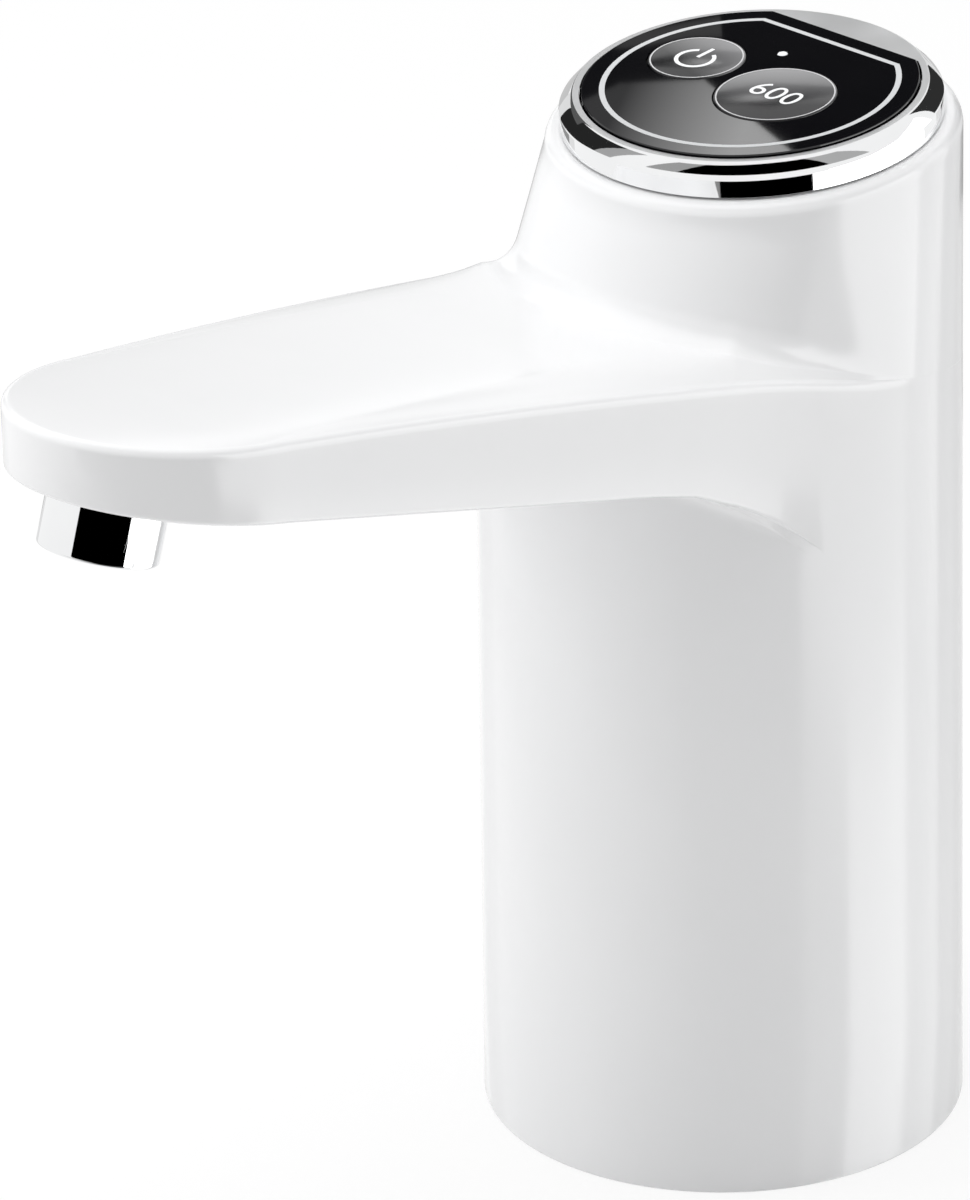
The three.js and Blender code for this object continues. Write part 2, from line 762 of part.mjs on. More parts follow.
// A screw along Z, its head down at the origin and its shank upwards
function screwShape(headRadius, headHeight, shankRadius, length) {
  return turned([
    [0, 0], [headRadius, 0], [headRadius, headHeight],
    [shankRadius, headHeight], [shankRadius, length - shankRadius], [0, length],
  ], smallSides);
}

// A countersunk screw along Z, its flat head down at the origin
function sunkScrewShape() {
  return turned([
    [0, 0], [smallHeadRadius, 0], [smallShankRadius, smallHeadHeight],
    [smallShankRadius, smallScrewLength - smallShankRadius], [0, smallScrewLength],
  ], smallSides);
}

// The opening under the spout and the cover that fills it
function coverOutline(inset) {
  const wide = planColumns(outerColumns,
      inset).filter((column) => !column.onBody && column.reach > coverStart);
  const right = wide.filter((column) => column.x >= 0).sort((p, q) => q.reach - p.reach);
  const edge = coverStart + inset - coverInset;
  const half = right.map((column) => [column.x, column.reach]);
  const last = half[half.length - 1];
  half.push([last[0] + (last[1] - edge) * ((spoutHalfWidthAtAxis - spoutHalfWidthAtTip) / spoutReach),
      edge]);
  const left = half.slice(1).reverse().map(([x, reach]) => [-x, reach]);
  const whole = [...half, ...left];
  return whole.map(([x, reach]) => [x, -reach]);
}

function underSlab(low, high) {
  const near = spoutBendReach;
  const far = spoutReach + overrun;
  return sideProfile([
    [near, underHeight(near) + low], [far, underHeight(far) + low],
    [far, underHeight(far) + high], [near, underHeight(near) + high],
  ], bodyBaseRadius);
}

function coverPlate(inset, low, high) {
  const prism = toSolid(extruded(coverOutline(inset), underHeight(coverStart) - overrun,
      topHeight(spoutReach)));
  return prism.intersect(toSolid(underSlab(low, high)));
}

const coverScrewPlaces = [1, -1].map((side) => [side * coverScrewX, -coverScrewReach]);

// Screw places of the chassis, the control board and the pump
const chassisRadius = bodyRadius(floorTop) - wall - gap;
const bossPlaces = bossAngles.map((angle) => around(chassisRadius - bossMargin, angle));
const boardPostPlaces = postAngles.map((angle) => around(postReach, angle));
const pumpScrewPlaces = pumpScrewAngles.map((angle) => {
  const [x, y] = around(pumpScrewReach, angle);
  return [x, y + pumpY];
});

function portOutline(width, height) {
  const half = (width - height) / 2;
  const shape = [];
  for (const [side, start] of [[1, -quarter], [-1, quarter]]) {
    for (let i = 0; i <= smallSides / 2; i += 1) {
      const angle = start + (Math.PI * i) / (smallSides / 2);
      shape.push([side * half + (height / 2) * Math.cos(angle), (height / 2) * Math.sin(angle)]);
    }
  }
  return shape;
}

// A prism of an outline in X and Z, running from one Y to another at the charging socket
function portPrism(width, height, yLow, yHigh) {
  const solid = extruded(portOutline(width, height), -yHigh, -yLow);
  return solid.rotateX(Math.PI / 2).translate(0, 0, portHeight);
}

const backSurface = bodyRadius(portHeight);

// Housing
function housing() {
  let shell = toSolid(lofted(skinRings(0, outerSteps)));
  shell = shell.subtract(toSolid(lofted(skinRings(wall, innerSteps))));
  shell = cut(shell, inTop(disc(skirtRadius + gap, -(chamferHeight + bandHeight + rimLedge) - overrun, 0)));
  shell = shell.subtract(coverPlate(coverInset, -overrun, wall + overrun / 2));

  // bosses for the chassis screws and for the screws of the spout cover, within the outer surface
  const bossLow = floorTop + gap;
  const bosses = bossPlaces.map(([x, y]) => disc(bossRadius, bossLow, bossLow + bossHeight, middleSides)
    .translate(x, y, 0));
  const ribs = bossPlaces.map(([x, y]) => {
    const rib = block(0, overrun + wall, -wall / 2, wall / 2, bossLow, bossLow + bossHeight);
    return rib.rotateZ(Math.atan2(y, x)).translate(x, y, 0);
  });
  const coverBossLow = underHeight(coverScrewReach) + coverThickness + gap * 4;
  const coverBosses = coverScrewPlaces.map(([x, y]) => disc(
    coverBossRadius, coverBossLow, topHeight(coverScrewReach), middleSides).translate(x, y, 0));
  const pad = block(-portPadWidth / 2, portPadWidth / 2, backSurface - wall - portPadDepth,
      backSurface - wall / 2,
    portHeight - portPadHeight / 2, portHeight + portPadHeight / 2);
  const skin = toSolid(lofted(skinRings(wall / 4, outerSteps)));
  shell = shell.add(join(...bosses, ...ribs, ...coverBosses, pad).intersect(skin));
  const pilotTop = floorBottom + screwLength + gap * 2;
  const pilots = bossPlaces.map(([x, y]) => disc(
    screwShankRadius + gap, bossLow - overrun / 2, pilotTop, smallSides).translate(x, y, 0));
  const coverPilotLow = underHeight(coverScrewReach);
  const coverPilotTop = coverPilotLow + smallScrewLength + gap * 2;
  const coverPilots = coverScrewPlaces.map(([x, y]) => disc(
    smallShankRadius + gap, coverPilotLow, coverPilotTop, smallSides).translate(x, y, 0));
  shell = cut(shell, ...pilots, ...coverPilots);

  // the charging port: a pocket for the flap and a hole for the socket
  const pocket = toSolid(ring(
    backSurface - coverFlapThickness - gap, backSurface + overrun,
    portHeight - coverFlapHeight / 2 - gap, portHeight + coverFlapHeight / 2 + gap, wideSides));
  const window = toSolid(block(-coverFlapWidth / 2 - flapHingeGap, coverFlapWidth / 2 + gap, 0,
    backSurface + overrun, portHeight - coverFlapHeight, portHeight + coverFlapHeight));
  shell = shell.subtract(pocket.intersect(window));
  const hole = portPrism(portWidth + gap * 2, portThickness + gap * 2,
      backSurface - wall - portPadDepth - overrun,
    backSurface + overrun);
  return cut(shell, hole);
}

function spoutCover() {
  const plate = coverPlate(coverInset + gap, gap / 2, gap / 2 + coverThickness);
  const hole = inNozzle(disc(nozzleRadius + gap, -overrun, overrun * 2));
  const holes = coverScrewPlaces.map(([x, y]) => turned([
    [0, -overrun], [smallHeadRadius + gap + overrun / 2, -overrun], [smallHeadRadius + gap, 0],
    [smallShankRadius + gap, smallHeadHeight], [smallShankRadius + gap, overrun], [0, overrun],
  ], smallSides).translate(x, y, underHeight(coverScrewReach) + gap));
  return cut(plate, hole, ...holes);
}

// Nozzle, in its own leaning frame: Z runs up into the spout
function nozzleSleeve() {
  const inner = nozzleRadius - nozzleWall;
  const flangeLow = coverThickness + gap * 3;
  const flangeHigh = flangeLow + nozzleFlangeThickness;
  const flangeRadius = nozzleRadius + nozzleFlangeWidth;
  return turned([
    [inner, nozzleEdge - nozzleLength], [inner + nozzleEdge, -nozzleLength],
    [nozzleRadius - nozzleEdge, -nozzleLength], [nozzleRadius, nozzleEdge - nozzleLength],
    [nozzleRadius, flangeLow], [flangeRadius, flangeLow], [flangeRadius, flangeHigh], [inner, flangeHigh],
  ], nozzleSides);
}

function nozzleAdapter() {
  const radius = nozzleRadius - nozzleWall - gap;
  const bore = radius - adapterWall;
  const cup = turned([
    [0, adapterHeight], [radius, adapterHeight], [radius, -adapterDrop], [bore, -adapterDrop],
    [bore, adapterHeight - adapterWall], [0, adapterHeight - adapterWall],
  ]);
  // the barb points back to the body, along the slope of the hose
  const aim = (shape) => shape.rotateX(-quarter + nozzleLean - Math.atan(hoseSlope))
      .translate(0, 0, barbHeight());
  const barb = aim(disc(outletRadius, bore, radius + hoseBarbLength, middleSides));
  const channel = aim(disc(outletBore, 0, radius + hoseBarbLength + overrun, smallSides));
  return cut(join(cup, barb), channel);
}

// Height of the hose barb above the underside, in the frame of the nozzle
function barbHeight() {
  return adapterHeight - adapterWall - outletBore - gap;
}

function straightener() {
  const radius = nozzleRadius - nozzleWall - gap;
  const high = -adapterDrop - gap;
  const low = high - straightenerHeight;
  const holes = [[0, 0]];
  for (let i = 0; i < straightenerHoleCount; i += 1) {
    holes.push(around(straightenerHoleReach, (i * 360) / straightenerHoleCount));
  }
  const drills = holes.map(([x, y]) => disc(straightenerHoleRadius, low - overrun, high + overrun,
      smallSides)
    .translate(x, y, 0));
  return cut(toSolid(disc(radius, low, high)), ...drills);
}

// The hose runs up in front of the pump, bends over and follows the slope of the arm
function deliveryHose() {
  const reach = -outletY;
  const end = Math.atan(hoseSlope);
  const points = [new THREE.Vector3(0, -reach, pumpHeadTop + gap)];
  for (let i = 0; i <= hoseBendSteps; i += 1) {
    const angle = lerp(Math.PI, quarter + end, i / hoseBendSteps);
    const bendReach = reach + hoseBendRadius * (1 + Math.cos(angle));
    points.push(new THREE.Vector3(0, -bendReach, hoseBendHeight + hoseBendRadius * Math.sin(angle)));
  }
  const barb = new THREE.Vector3(0, 0, barbHeight()).applyMatrix4(nozzleFrame.matrix);
  const back = new THREE.Vector3(0, Math.cos(end), -Math.sin(end));
  const clear = nozzleRadius + nozzleFlangeWidth + gap;
  const mouth = barb.clone().addScaledVector(back, clear);
  points.push(mouth.clone().addScaledVector(back, hoseBarbLength * 2), mouth);
  const path = new THREE.CatmullRomCurve3(points, false, 'centripetal');
  const shape = new THREE.Shape();
  shape.absarc(0, 0, hoseRadius, 0, 2 * Math.PI);
  const bore = new THREE.Path();
  bore.absarc(0, 0, hoseBore, 0, 2 * Math.PI, true);
  shape.holes.push(bore);
  return new THREE.ExtrudeGeometry(shape,
      { extrudePath: path, steps: hoseSteps, curveSegments: hoseSides });
}

// Top: bezel, panel, keys and what lies below them, in the tilted frame
function dOutline(radius, chord) {
  const half = Math.acos(chord / radius);
  const count = roundSides;
  const points = [];
  for (let i = 0; i <= count; i += 1) {
    const angle = quarter + half + ((2 * Math.PI - 2 * half) * i) / count;
    points.push([radius * Math.cos(angle), radius * Math.sin(angle)]);
  }
  return points;
}

function bezel() {
  const band = -chamferHeight;
  const foot = -(chamferHeight + bandHeight);
  const whole = turned([
    [0, 0], [faceRadius, 0], [bandRadius, band], [bandRadius, foot], [skirtRadius, foot],
    [skirtRadius, foot - skirtDepth], [skirtRadius - skirtWall, foot - skirtDepth],
    [skirtRadius - skirtWall, ledgeBottom], [0, ledgeBottom],
  ], wideSides);
  const recess = extruded(dOutline(panelRadius + gap, panelChord + gap), ledgeTop, overrun);
  const opening = extruded(dOutline(panelRadius - ledgeWidth, panelChord - ledgeWidth),
      ledgeBottom - overrun, overrun);
  return cut(toSolid(whole), recess, opening);
}

const keyRows = [
  { name: 'power', radius: powerKeyRadius, x: powerKeyX, y: powerKeyY },
  { name: 'amount', radius: amountKeyRadius, x: amountKeyX, y: amountKeyY },
];

function panel() {
  const plate = toSolid(extruded(dOutline(panelRadius, panelChord), panelBottom, panelTop));
  const holes = keyRows.map((key) => disc(key.radius + gap, panelBottom - overrun, overrun)
      .translate(key.x, key.y, 0));
  const lightHole = disc(lightRadius + gap, panelBottom - overrun, overrun, smallSides)
      .translate(lightX, lightY, 0);
  return cut(plate, ...holes, lightHole);
}

function keyCap(key) {
  const flange = key.radius + keyFlangeWidth;
  return turned([
    [0, keyStemBottom], [keyStemRadius, keyStemBottom], [keyStemRadius, keyFlangeBottom], [flange,
        keyFlangeBottom],
    [flange, keyFlangeTop], [key.radius, keyFlangeTop], [key.radius, keyTop - gap], [key.radius - gap,
        keyTop],
    [0, keyTop],
  ]).translate(key.x, key.y, 0);
}

function switchBody(key) {
  const half = switchSide / 2;
  const box = toSolid(block(key.x - half, key.x + half, key.y - half, key.y + half, switchBottom,
      switchTop));
  const well = disc(plungerRadius + gap, switchBottom + gap, switchTop + overrun, middleSides);
  return cut(box, well.translate(key.x, key.y, 0));
}

function plunger(key) {
  return disc(plungerRadius, plungerTop - plungerHeight, plungerTop, middleSides)
      .translate(key.x, key.y, 0);
}

function buttonCarrier() {
  const radius = skirtRadius - skirtWall - gap;
  const plate = disc(radius, carrierBottom, carrierTop);
  const posts = boardPostPlaces.map(([x, y]) => disc(postRadius, boardTop + gap, carrierTop - gap,
      middleSides)
    .translate(x, y, 0));
  const keyHoles = keyRows.map((key) => disc(
    keyStemRadius + gap, carrierBottom - overrun, carrierTop + overrun, middleSides)
        .translate(key.x, key.y, 0));
  const lightHole = disc(lightRadius + gap, carrierBottom - overrun, carrierTop + overrun, smallSides)
    .translate(lightX, lightY, 0);
  const pilotTop = boardBottom + smallScrewLength - smallHeadHeight;
  const pilots = boardPostPlaces.map(([x, y]) => disc(
    smallShankRadius + gap, boardTop - overrun, pilotTop, smallSides).translate(x, y, 0));
  return cut(join(plate, ...posts), ...keyHoles, lightHole, ...pilots);
}

function lightPipe() {
  const flangeTop = panelBottom - gap;
  return turned([
    [0, boardTop + ledHeight + gap * 2], [lightRadius, boardTop + ledHeight + gap * 2],
    [lightRadius, flangeTop - lightFlangeThickness], [lightRadius + lightFlangeWidth,
        flangeTop - lightFlangeThickness],
    [lightRadius + lightFlangeWidth, flangeTop], [lightRadius, flangeTop], [lightRadius, panelTop], [0,
        panelTop],
  ], smallSides).translate(lightX, lightY, 0);
}

function controlBoard() {
  const plate = toSolid(extruded(dOutline(boardRadius, panelChord + wall / 2), boardBottom, boardTop));
  const holes = boardPostPlaces.map(([x, y]) => disc(
    smallShankRadius + gap, boardBottom - overrun, boardTop + overrun, smallSides).translate(x, y, 0));
  return cut(plate, ...holes);
}

// Base: collar, seal, chassis
function bottleCollar() {
  const outer = bodyRadius(collarTop) - wall - gap;
  const groove = outer - collarGrooveDepth;
  const ribBore = neckBoreRadius - neckRibProud;
  const span = (collarTop - collarFoot) / (neckRibCount + 1);
  const profile = [
    [neckBoreRadius + wall, collarFoot], [outer, collarFoot], [outer, collarFoot + span / 2],
    [groove, collarFoot + span], [groove, collarTop - span], [outer, collarTop - span / 2],
    [outer, collarTop], [neckBoreRadius, collarTop],
  ];
  for (let i = neckRibCount; i >= 1; i -= 1) {
    const middle = collarFoot + span * i;
    profile.push([neckBoreRadius, middle + neckRibHeight / 2], [ribBore, middle]);
    profile.push([neckBoreRadius, middle - neckRibHeight / 2]);
  }
  profile.push([neckBoreRadius, collarFoot + wall]);
  return turned(profile);
}

function chassis() {
  const floor = disc(chassisRadius, floorBottom, floorTop);
  const pumpRing = disc(pumpRadius + gap * 2 + pumpRingWall, floorBottom, floorTop + pumpRingHeight)
      .translate(0, pumpY, 0);
  const cellCup = disc(cellRadius + gap + cellCupWall, floorBottom, floorTop + cellCupHeight)
      .translate(0, cellY, 0);
  const posts = [1, -1].map((side) => disc(chassisPostRadius, floorBottom, postTop, middleSides)
    .translate(side * chassisPostX, webY, 0));
  const web = block(-chassisPostX, chassisPostX, webY - webThickness / 2, webY + webThickness / 2,
      floorBottom, postTop);
  const pumpRoom = disc(pumpRadius + gap * 2, floorTop, postTop).translate(0, pumpY, 0);
  const cellRoom = disc(cellRadius + gap, floorTop, postTop).translate(0, cellY, 0);
  const lugHalf = outletLugRadius + gap * 2;
  const lugRoom = block(-lugHalf, lugHalf, -chassisRadius, pumpY, floorTop, postTop);
  const screwRooms = bossPlaces.map(([x, y]) => join(
    disc(screwShankRadius + gap, floorBottom - overrun, floorTop + overrun, smallSides).translate(x, y, 0),
    disc(screwHeadRadius + gap, floorBottom - overrun, floorBottom + screwHeadHeight + gap, middleSides)
      .translate(x, y, 0),
  ));
  const grommetHole = disc(inletRadius + wall + gap, floorBottom - overrun, floorTop + overrun, middleSides)
    .translate(0, pumpY, 0);
  const pilots = [1, -1].map((side) => disc(
    smallShankRadius + gap, postTop - smallScrewLength, postTop + overrun, smallSides)
    .translate(side * chassisPostX, webY, 0));
  const whole = cut(join(floor, pumpRing, cellCup, ...posts, web), pumpRoom, cellRoom, lugRoom,
      grommetHole, ...pilots);
  return screwRooms.reduce((solid, room) => solid.subtract(room), whole);
}

// A flat ring on the collar, with a lower land inside the bore that the bottle's mouth meets
function neckSeal() {
  const low = collarTop + gap;
  const high = low + sealThickness;
  const outer = bodyRadius(high) - wall - gap * 3;
  const inner = outer - sealWidth;
  const land = neckBoreRadius - gap;
  return turned([
    [inner, collarTop - sealLandDepth], [land, collarTop - sealLandDepth], [land, low], [outer, low],
    [outer, high], [inner, high],
  ]);
}

function inletGrommet() {
  return ring(inletRadius + gap, inletRadius + wall, floorBottom, floorTop, middleSides)
      .translate(0, pumpY, 0);
}

// Pump, stacked upwards from its head
function pumpScrewHoles(low, high) {
  return pumpScrewPlaces.map(([x, y]) => disc(smallShankRadius + gap, low - overrun, high + overrun,
      smallSides)
    .translate(x, y, 0));
}

function pumpHead() {
  const cover = disc(pumpRadius, pumpHeadBottom, pumpHeadTop).translate(0, pumpY, 0);
  const tail = pumpHeadBottom - inletDepth;
  const profile = [[0, pumpHeadTop], [inletRadius, pumpHeadTop],
      [inletRadius, tail + barbPitch * (barbCount + 1)]];
  for (let i = barbCount; i >= 1; i -= 1) {
    profile.push([inletRadius + barbProud, tail + barbPitch * i],
        [inletRadius - barbProud / 2, tail + barbPitch * (i - 1)]);
  }
  profile.push([0, tail]);
  const inlet = turned(profile, middleSides).translate(0, pumpY, 0);
  const lug = disc(outletLugRadius, pumpHeadBottom, pumpHeadTop, middleSides).translate(0, outletY, 0);
  const bridge = block(-outletLugRadius, outletLugRadius, outletY, pumpY, pumpHeadBottom, pumpHeadTop);
  const spigot = disc(outletRadius, pumpHeadBottom + wall, pumpHeadTop + outletHeight, middleSides)
    .translate(0, outletY, 0);
  const bore = disc(inletBore, tail - overrun, pumpHeadTop - wall, smallSides).translate(0, pumpY, 0);
  const outletDrill = disc(outletBore, pumpHeadBottom + wall, pumpHeadTop + outletHeight + overrun,
      smallSides)
    .translate(0, outletY, 0);
  const headRoomTop = pumpHeadBottom + smallHeadHeight + gap;
  const headRooms = pumpScrewPlaces.map(([x, y]) => disc(
    smallHeadRadius + gap, pumpHeadBottom - overrun, headRoomTop, smallSides).translate(x, y, 0));
  return cut(join(cover, inlet, lug, bridge, spigot), bore, outletDrill, ...headRooms,
    ...pumpScrewHoles(pumpHeadBottom, pumpHeadTop));
}

function valvePlate() {
  const plate = toSolid(disc(pumpRadius, valveBottom, valveTop).translate(0, pumpY, 0));
  const ports = chamberAngles.map((angle) => {
    const [x, y] = around(chamberReach, angle);
    return disc(inletBore, valveBottom - overrun, valveTop + overrun, smallSides)
        .translate(x, y + pumpY, 0);
  });
  return cut(plate, ...ports, ...pumpScrewHoles(valveBottom, valveTop));
}

function diaphragm() {
  const sheet = disc(pumpRadius, diaphragmBottom, diaphragmTop).translate(0, pumpY, 0);
  const stemTop = wobbleHeight - chamberReach * Math.sin(crankTilt) * 2;
  const stems = chamberAngles.map((angle) => {
    const [x, y] = around(chamberReach, angle);
    return turned([
      [0, diaphragmBottom], [inletBore + wall / 2, diaphragmBottom], [inletBore + wall / 2, diaphragmTop],
      [inletBore / 2, diaphragmTop + wall / 2], [inletBore / 2, stemTop], [0, stemTop],
    ], smallSides).translate(x, y + pumpY, 0);
  });
  return cut(join(sheet, ...stems), ...pumpScrewHoles(diaphragmBottom, diaphragmTop));
}

function crankcase() {
  const inner = pumpRadius - crankcaseWall;
  const cup = turned([
    [0, crankcaseTop], [pumpRadius, crankcaseTop], [pumpRadius, crankcaseBottom], [inner, crankcaseBottom],
    [inner, crankcaseTop - crankcaseWeb], [0, crankcaseTop - crankcaseWeb],
  ]).translate(0, pumpY, 0);
  const bushRoom = disc(bushRadius + gap * 2, crankcaseTop - crankcaseWeb - overrun,
      crankcaseTop + overrun, middleSides)
    .translate(0, pumpY, 0);
  const drillTop = pumpHeadBottom + pumpScrewLength + gap * 2;
  const drills = pumpScrewPlaces.map(([x, y]) => disc(
    smallShankRadius + gap, crankcaseBottom - overrun, drillTop, smallSides).translate(x, y, 0));
  return cut(toSolid(cup), bushRoom, ...drills);
}

// The frame of the wobble plate leans about the nutation centre
const wobbleFrame = new THREE.Object3D();
wobbleFrame.position.set(0, pumpY, wobbleCentre);
wobbleFrame.rotation.x = crankTilt;
wobbleFrame.updateMatrix();

function wobblePlate() {
  const low = wobbleHeight - wobbleCentre;
  const arms = chamberAngles.map((angle) => {
    const arm = block(0, chamberReach + wobbleArmWidth / 2, -wobbleArmWidth / 2, wobbleArmWidth / 2,
        low, low + wobbleThickness);
    return arm.rotateZ(deg(angle));
  });
  const hub = disc(wobbleHubRadius, low, low + wobbleHubHeight, middleSides);
  const hole = disc(crankPinRadius + gap, low + wall / 4, low + wobbleHubHeight + overrun, smallSides);
  const solid = cut(join(...arms, hub), hole);
  return toGeometry(solid).applyMatrix4(wobbleFrame.matrix);
}

const wheelBottom = wobbleHeight + wobbleHubHeight + gap * 2;
const wheelTop = wheelBottom + wheelThickness;

function crankPin() {
  const low = wobbleHeight - wobbleCentre + wall / 4 + gap;
  const high = wheelTop - wheelThickness / 2 - wobbleCentre;
  return disc(crankPinRadius, low, high, smallSides).applyMatrix4(wobbleFrame.matrix);
}

function eccentricWheel() {
  const wheel = toSolid(disc(wheelRadius, wheelBottom, wheelTop).translate(0, pumpY, 0));
  const pinRoomTop = wheelTop - wheelThickness / 2 - wobbleCentre + gap;
  const pinRoom = disc(crankPinRadius + gap, 0, pinRoomTop, smallSides).applyMatrix4(wobbleFrame.matrix);
  const shaftRoom = disc(shaftRadius + gap, wheelTop - wheelThickness / 3, wheelTop + overrun, smallSides)
    .translate(0, pumpY, 0);
  return cut(wheel, pinRoom, shaftRoom);
}

function motorShaft() {
  const low = wheelTop - wheelThickness / 3 + gap;
  return disc(shaftRadius, low, motorTop - motorWall, smallSides).translate(0, pumpY, 0);
}

function motorCan() {
  const inner = motorRadius - motorWall;
  return turned([
    [bushRadius + gap, motorBottom], [motorRadius, motorBottom], [motorRadius, motorTop], [inner, motorTop],
    [inner, motorBottom + motorWall], [bushRadius + gap, motorBottom + motorWall],
  ]).translate(0, pumpY, 0);
}

function motorBush() {
  return ring(shaftRadius + gap, bushRadius, motorBottom - gap, motorBottom - gap + bushLength, middleSides)
    .translate(0, pumpY, 0);
}

function motorRotor() {
  const low = motorBottom + (motorLength - rotorLength) / 2;
  const core = toSolid(ring(shaftRadius + gap, rotorRadius, low, low + rotorLength).translate(0, pumpY, 0));
  const slotIn = rotorRadius - rotorSlotDepth;
  const half = rotorSlotWidth / 2;
  const slots = chamberAngles.map((angle) => block(
    slotIn, rotorRadius + overrun, -half, half, low - overrun, low + rotorLength + overrun)
    .rotateZ(deg(angle)).translate(0, pumpY, 0));
  return cut(core, ...slots);
}

function motorMagnet(side) {
  const outer = motorRadius - motorWall - gap;
  const inner = outer - magnetThickness;
  const low = motorBottom + (motorLength - rotorLength) / 2;
  const steps = smallSides;
  const points = [];
  for (let i = 0; i <= steps; i += 1) {
    const angle = lerp(-magnetSpan / 2, magnetSpan / 2, i / steps);
    points.push([side * outer * Math.cos(angle), outer * Math.sin(angle)]);
  }
  for (let i = steps; i >= 0; i -= 1) {
    const angle = lerp(-magnetSpan / 2, magnetSpan / 2, i / steps);
    points.push([side * inner * Math.cos(angle), inner * Math.sin(angle)]);
  }
  return extruded(points, low, low + rotorLength).translate(0, pumpY, 0);
}

function motorEndCap() {
  const low = motorTop + gap;
  const cap = disc(motorRadius - motorWall, low, endCapTop).translate(0, pumpY, 0);
  const terminals = [1, -1].map((side) => {
    const middle = side * motorRadius / 2;
    return block(middle - terminalWidth / 2, middle + terminalWidth / 2, pumpY - gap, pumpY + gap, low,
      endCapTop + terminalHeight);
  });
  return join(cap, ...terminals);
}

// Cell and top bracket
function lithiumCell() {
  return turned([
    [0, cellBottom], [cellRadius - gap, cellBottom], [cellRadius, cellBottom + gap], [cellRadius,
        cellTop - gap],
    [cellRadius - gap, cellTop], [cellButtonRadius, cellTop], [cellButtonRadius,
        cellTop + cellButtonHeight],
    [0, cellTop + cellButtonHeight],
  ]).translate(0, cellY, 0);
}

function topBracket() {
  const motorOuter = motorRadius + gap + bracketSleeveWall;
  const cellOuter = cellRadius + gap + bracketSleeveWall;
  const plate = block(-chassisPostX - chassisPostRadius, chassisPostX + chassisPostRadius,
      webY - chassisPostRadius,
    webY + chassisPostRadius, bracketBottom, bracketTop);
  const motorSleeve = disc(motorOuter, bracketBottom - motorSleeveLength, bracketTop)
      .translate(0, pumpY, 0);
  const cellSleeve = disc(cellOuter, bracketBottom - cellSleeveLength, bracketTop).translate(0, cellY, 0);
  const motorRoom = disc(motorRadius + gap, 0, endCapTop + gap).translate(0, pumpY, 0);
  const capRoom = disc(motorRadius - motorWall, 0, bracketTop + overrun).translate(0, pumpY, 0);
  const cellRoom = disc(cellRadius + gap, 0, bracketBottom).translate(0, cellY, 0);
  const webRoom = block(-chassisPostX, chassisPostX, webY - webThickness / 2 - gap,
      webY + webThickness / 2 + gap, 0, postTop + gap);
  const holes = [1, -1].map((side) => disc(smallShankRadius + gap, 0, bracketTop + overrun, smallSides)
    .translate(side * chassisPostX, webY, 0));
  const portPosts = [1, -1].map((side) => disc(wall, bracketTop - gap, portBoardBottom - gap, smallSides)
    .translate(side * portBoardWidth / 4, cellY, 0));
  return cut(join(plate, motorSleeve, cellSleeve, ...portPosts), motorRoom, capRoom, cellRoom, webRoom,
      ...holes);
}

// Charging socket
function chargingBoard() {
  const yHigh = backSurface - wall - portPadDepth - gap;
  return block(-portBoardWidth / 2, portBoardWidth / 2, yHigh - portBoardLength, yHigh, portBoardBottom,
      portBoardTop);
}

function chargingSocket() {
  const mouth = backSurface - wall;
  const back = mouth - portDepth;
  const shell = portPrism(portWidth, portThickness, back, mouth);
  const hollow = portPrism(portWidth - portWall * 2, portThickness - portWall * 2, back + portWall * 2,
      mouth + overrun);
  const tongue = block(-portWidth / 2 + portThickness / 2, portWidth / 2 - portThickness / 2, back,
      mouth - gap * 4,
    portHeight - portTongueThickness / 2, portHeight + portTongueThickness / 2);
  return cut(toSolid(shell), hollow).add(toSolid(tongue));
}

function portFlap() {
  const outer = backSurface;
  const skin = toSolid(ring(outer - coverFlapThickness, outer, portHeight - coverFlapHeight / 2,
    portHeight + coverFlapHeight / 2, wideSides));
  const window = toSolid(block(-coverFlapWidth / 2, coverFlapWidth / 2, 0, outer + overrun,
    portHeight - coverFlapHeight, portHeight + coverFlapHeight));
  const plug = toSolid(portPrism(flapPlugWidth, flapPlugHeight, outer - coverFlapThickness - flapPlugDepth,
    outer - coverFlapThickness / 2));
  return skin.intersect(window).add(plug);
}

// Assembly
const pump = new THREE.Group();

piece(pump, 'housing', housing(), whiteShell);
piece(pump, 'spout_under_cover', spoutCover(), whiteShell);
coverScrewPlaces.forEach(([x, y], i) => {
  const screw = sunkScrewShape().translate(x, y, underHeight(coverScrewReach) + gap);
  piece(pump, `spout_cover_screw_${i + 1}`, screw, steel);
});

const nozzle = new THREE.Group();
nozzle.position.copy(nozzleFrame.position);
nozzle.rotation.copy(nozzleFrame.rotation);
piece(nozzle, 'nozzle_sleeve', nozzleSleeve(), chrome);
piece(nozzle, 'nozzle_adapter', nozzleAdapter(), innerPlastic);
piece(nozzle, 'flow_straightener', straightener(), darkPlastic);
pump.add(nozzle);
piece(pump, 'delivery_hose', deliveryHose(), siliconeClear);

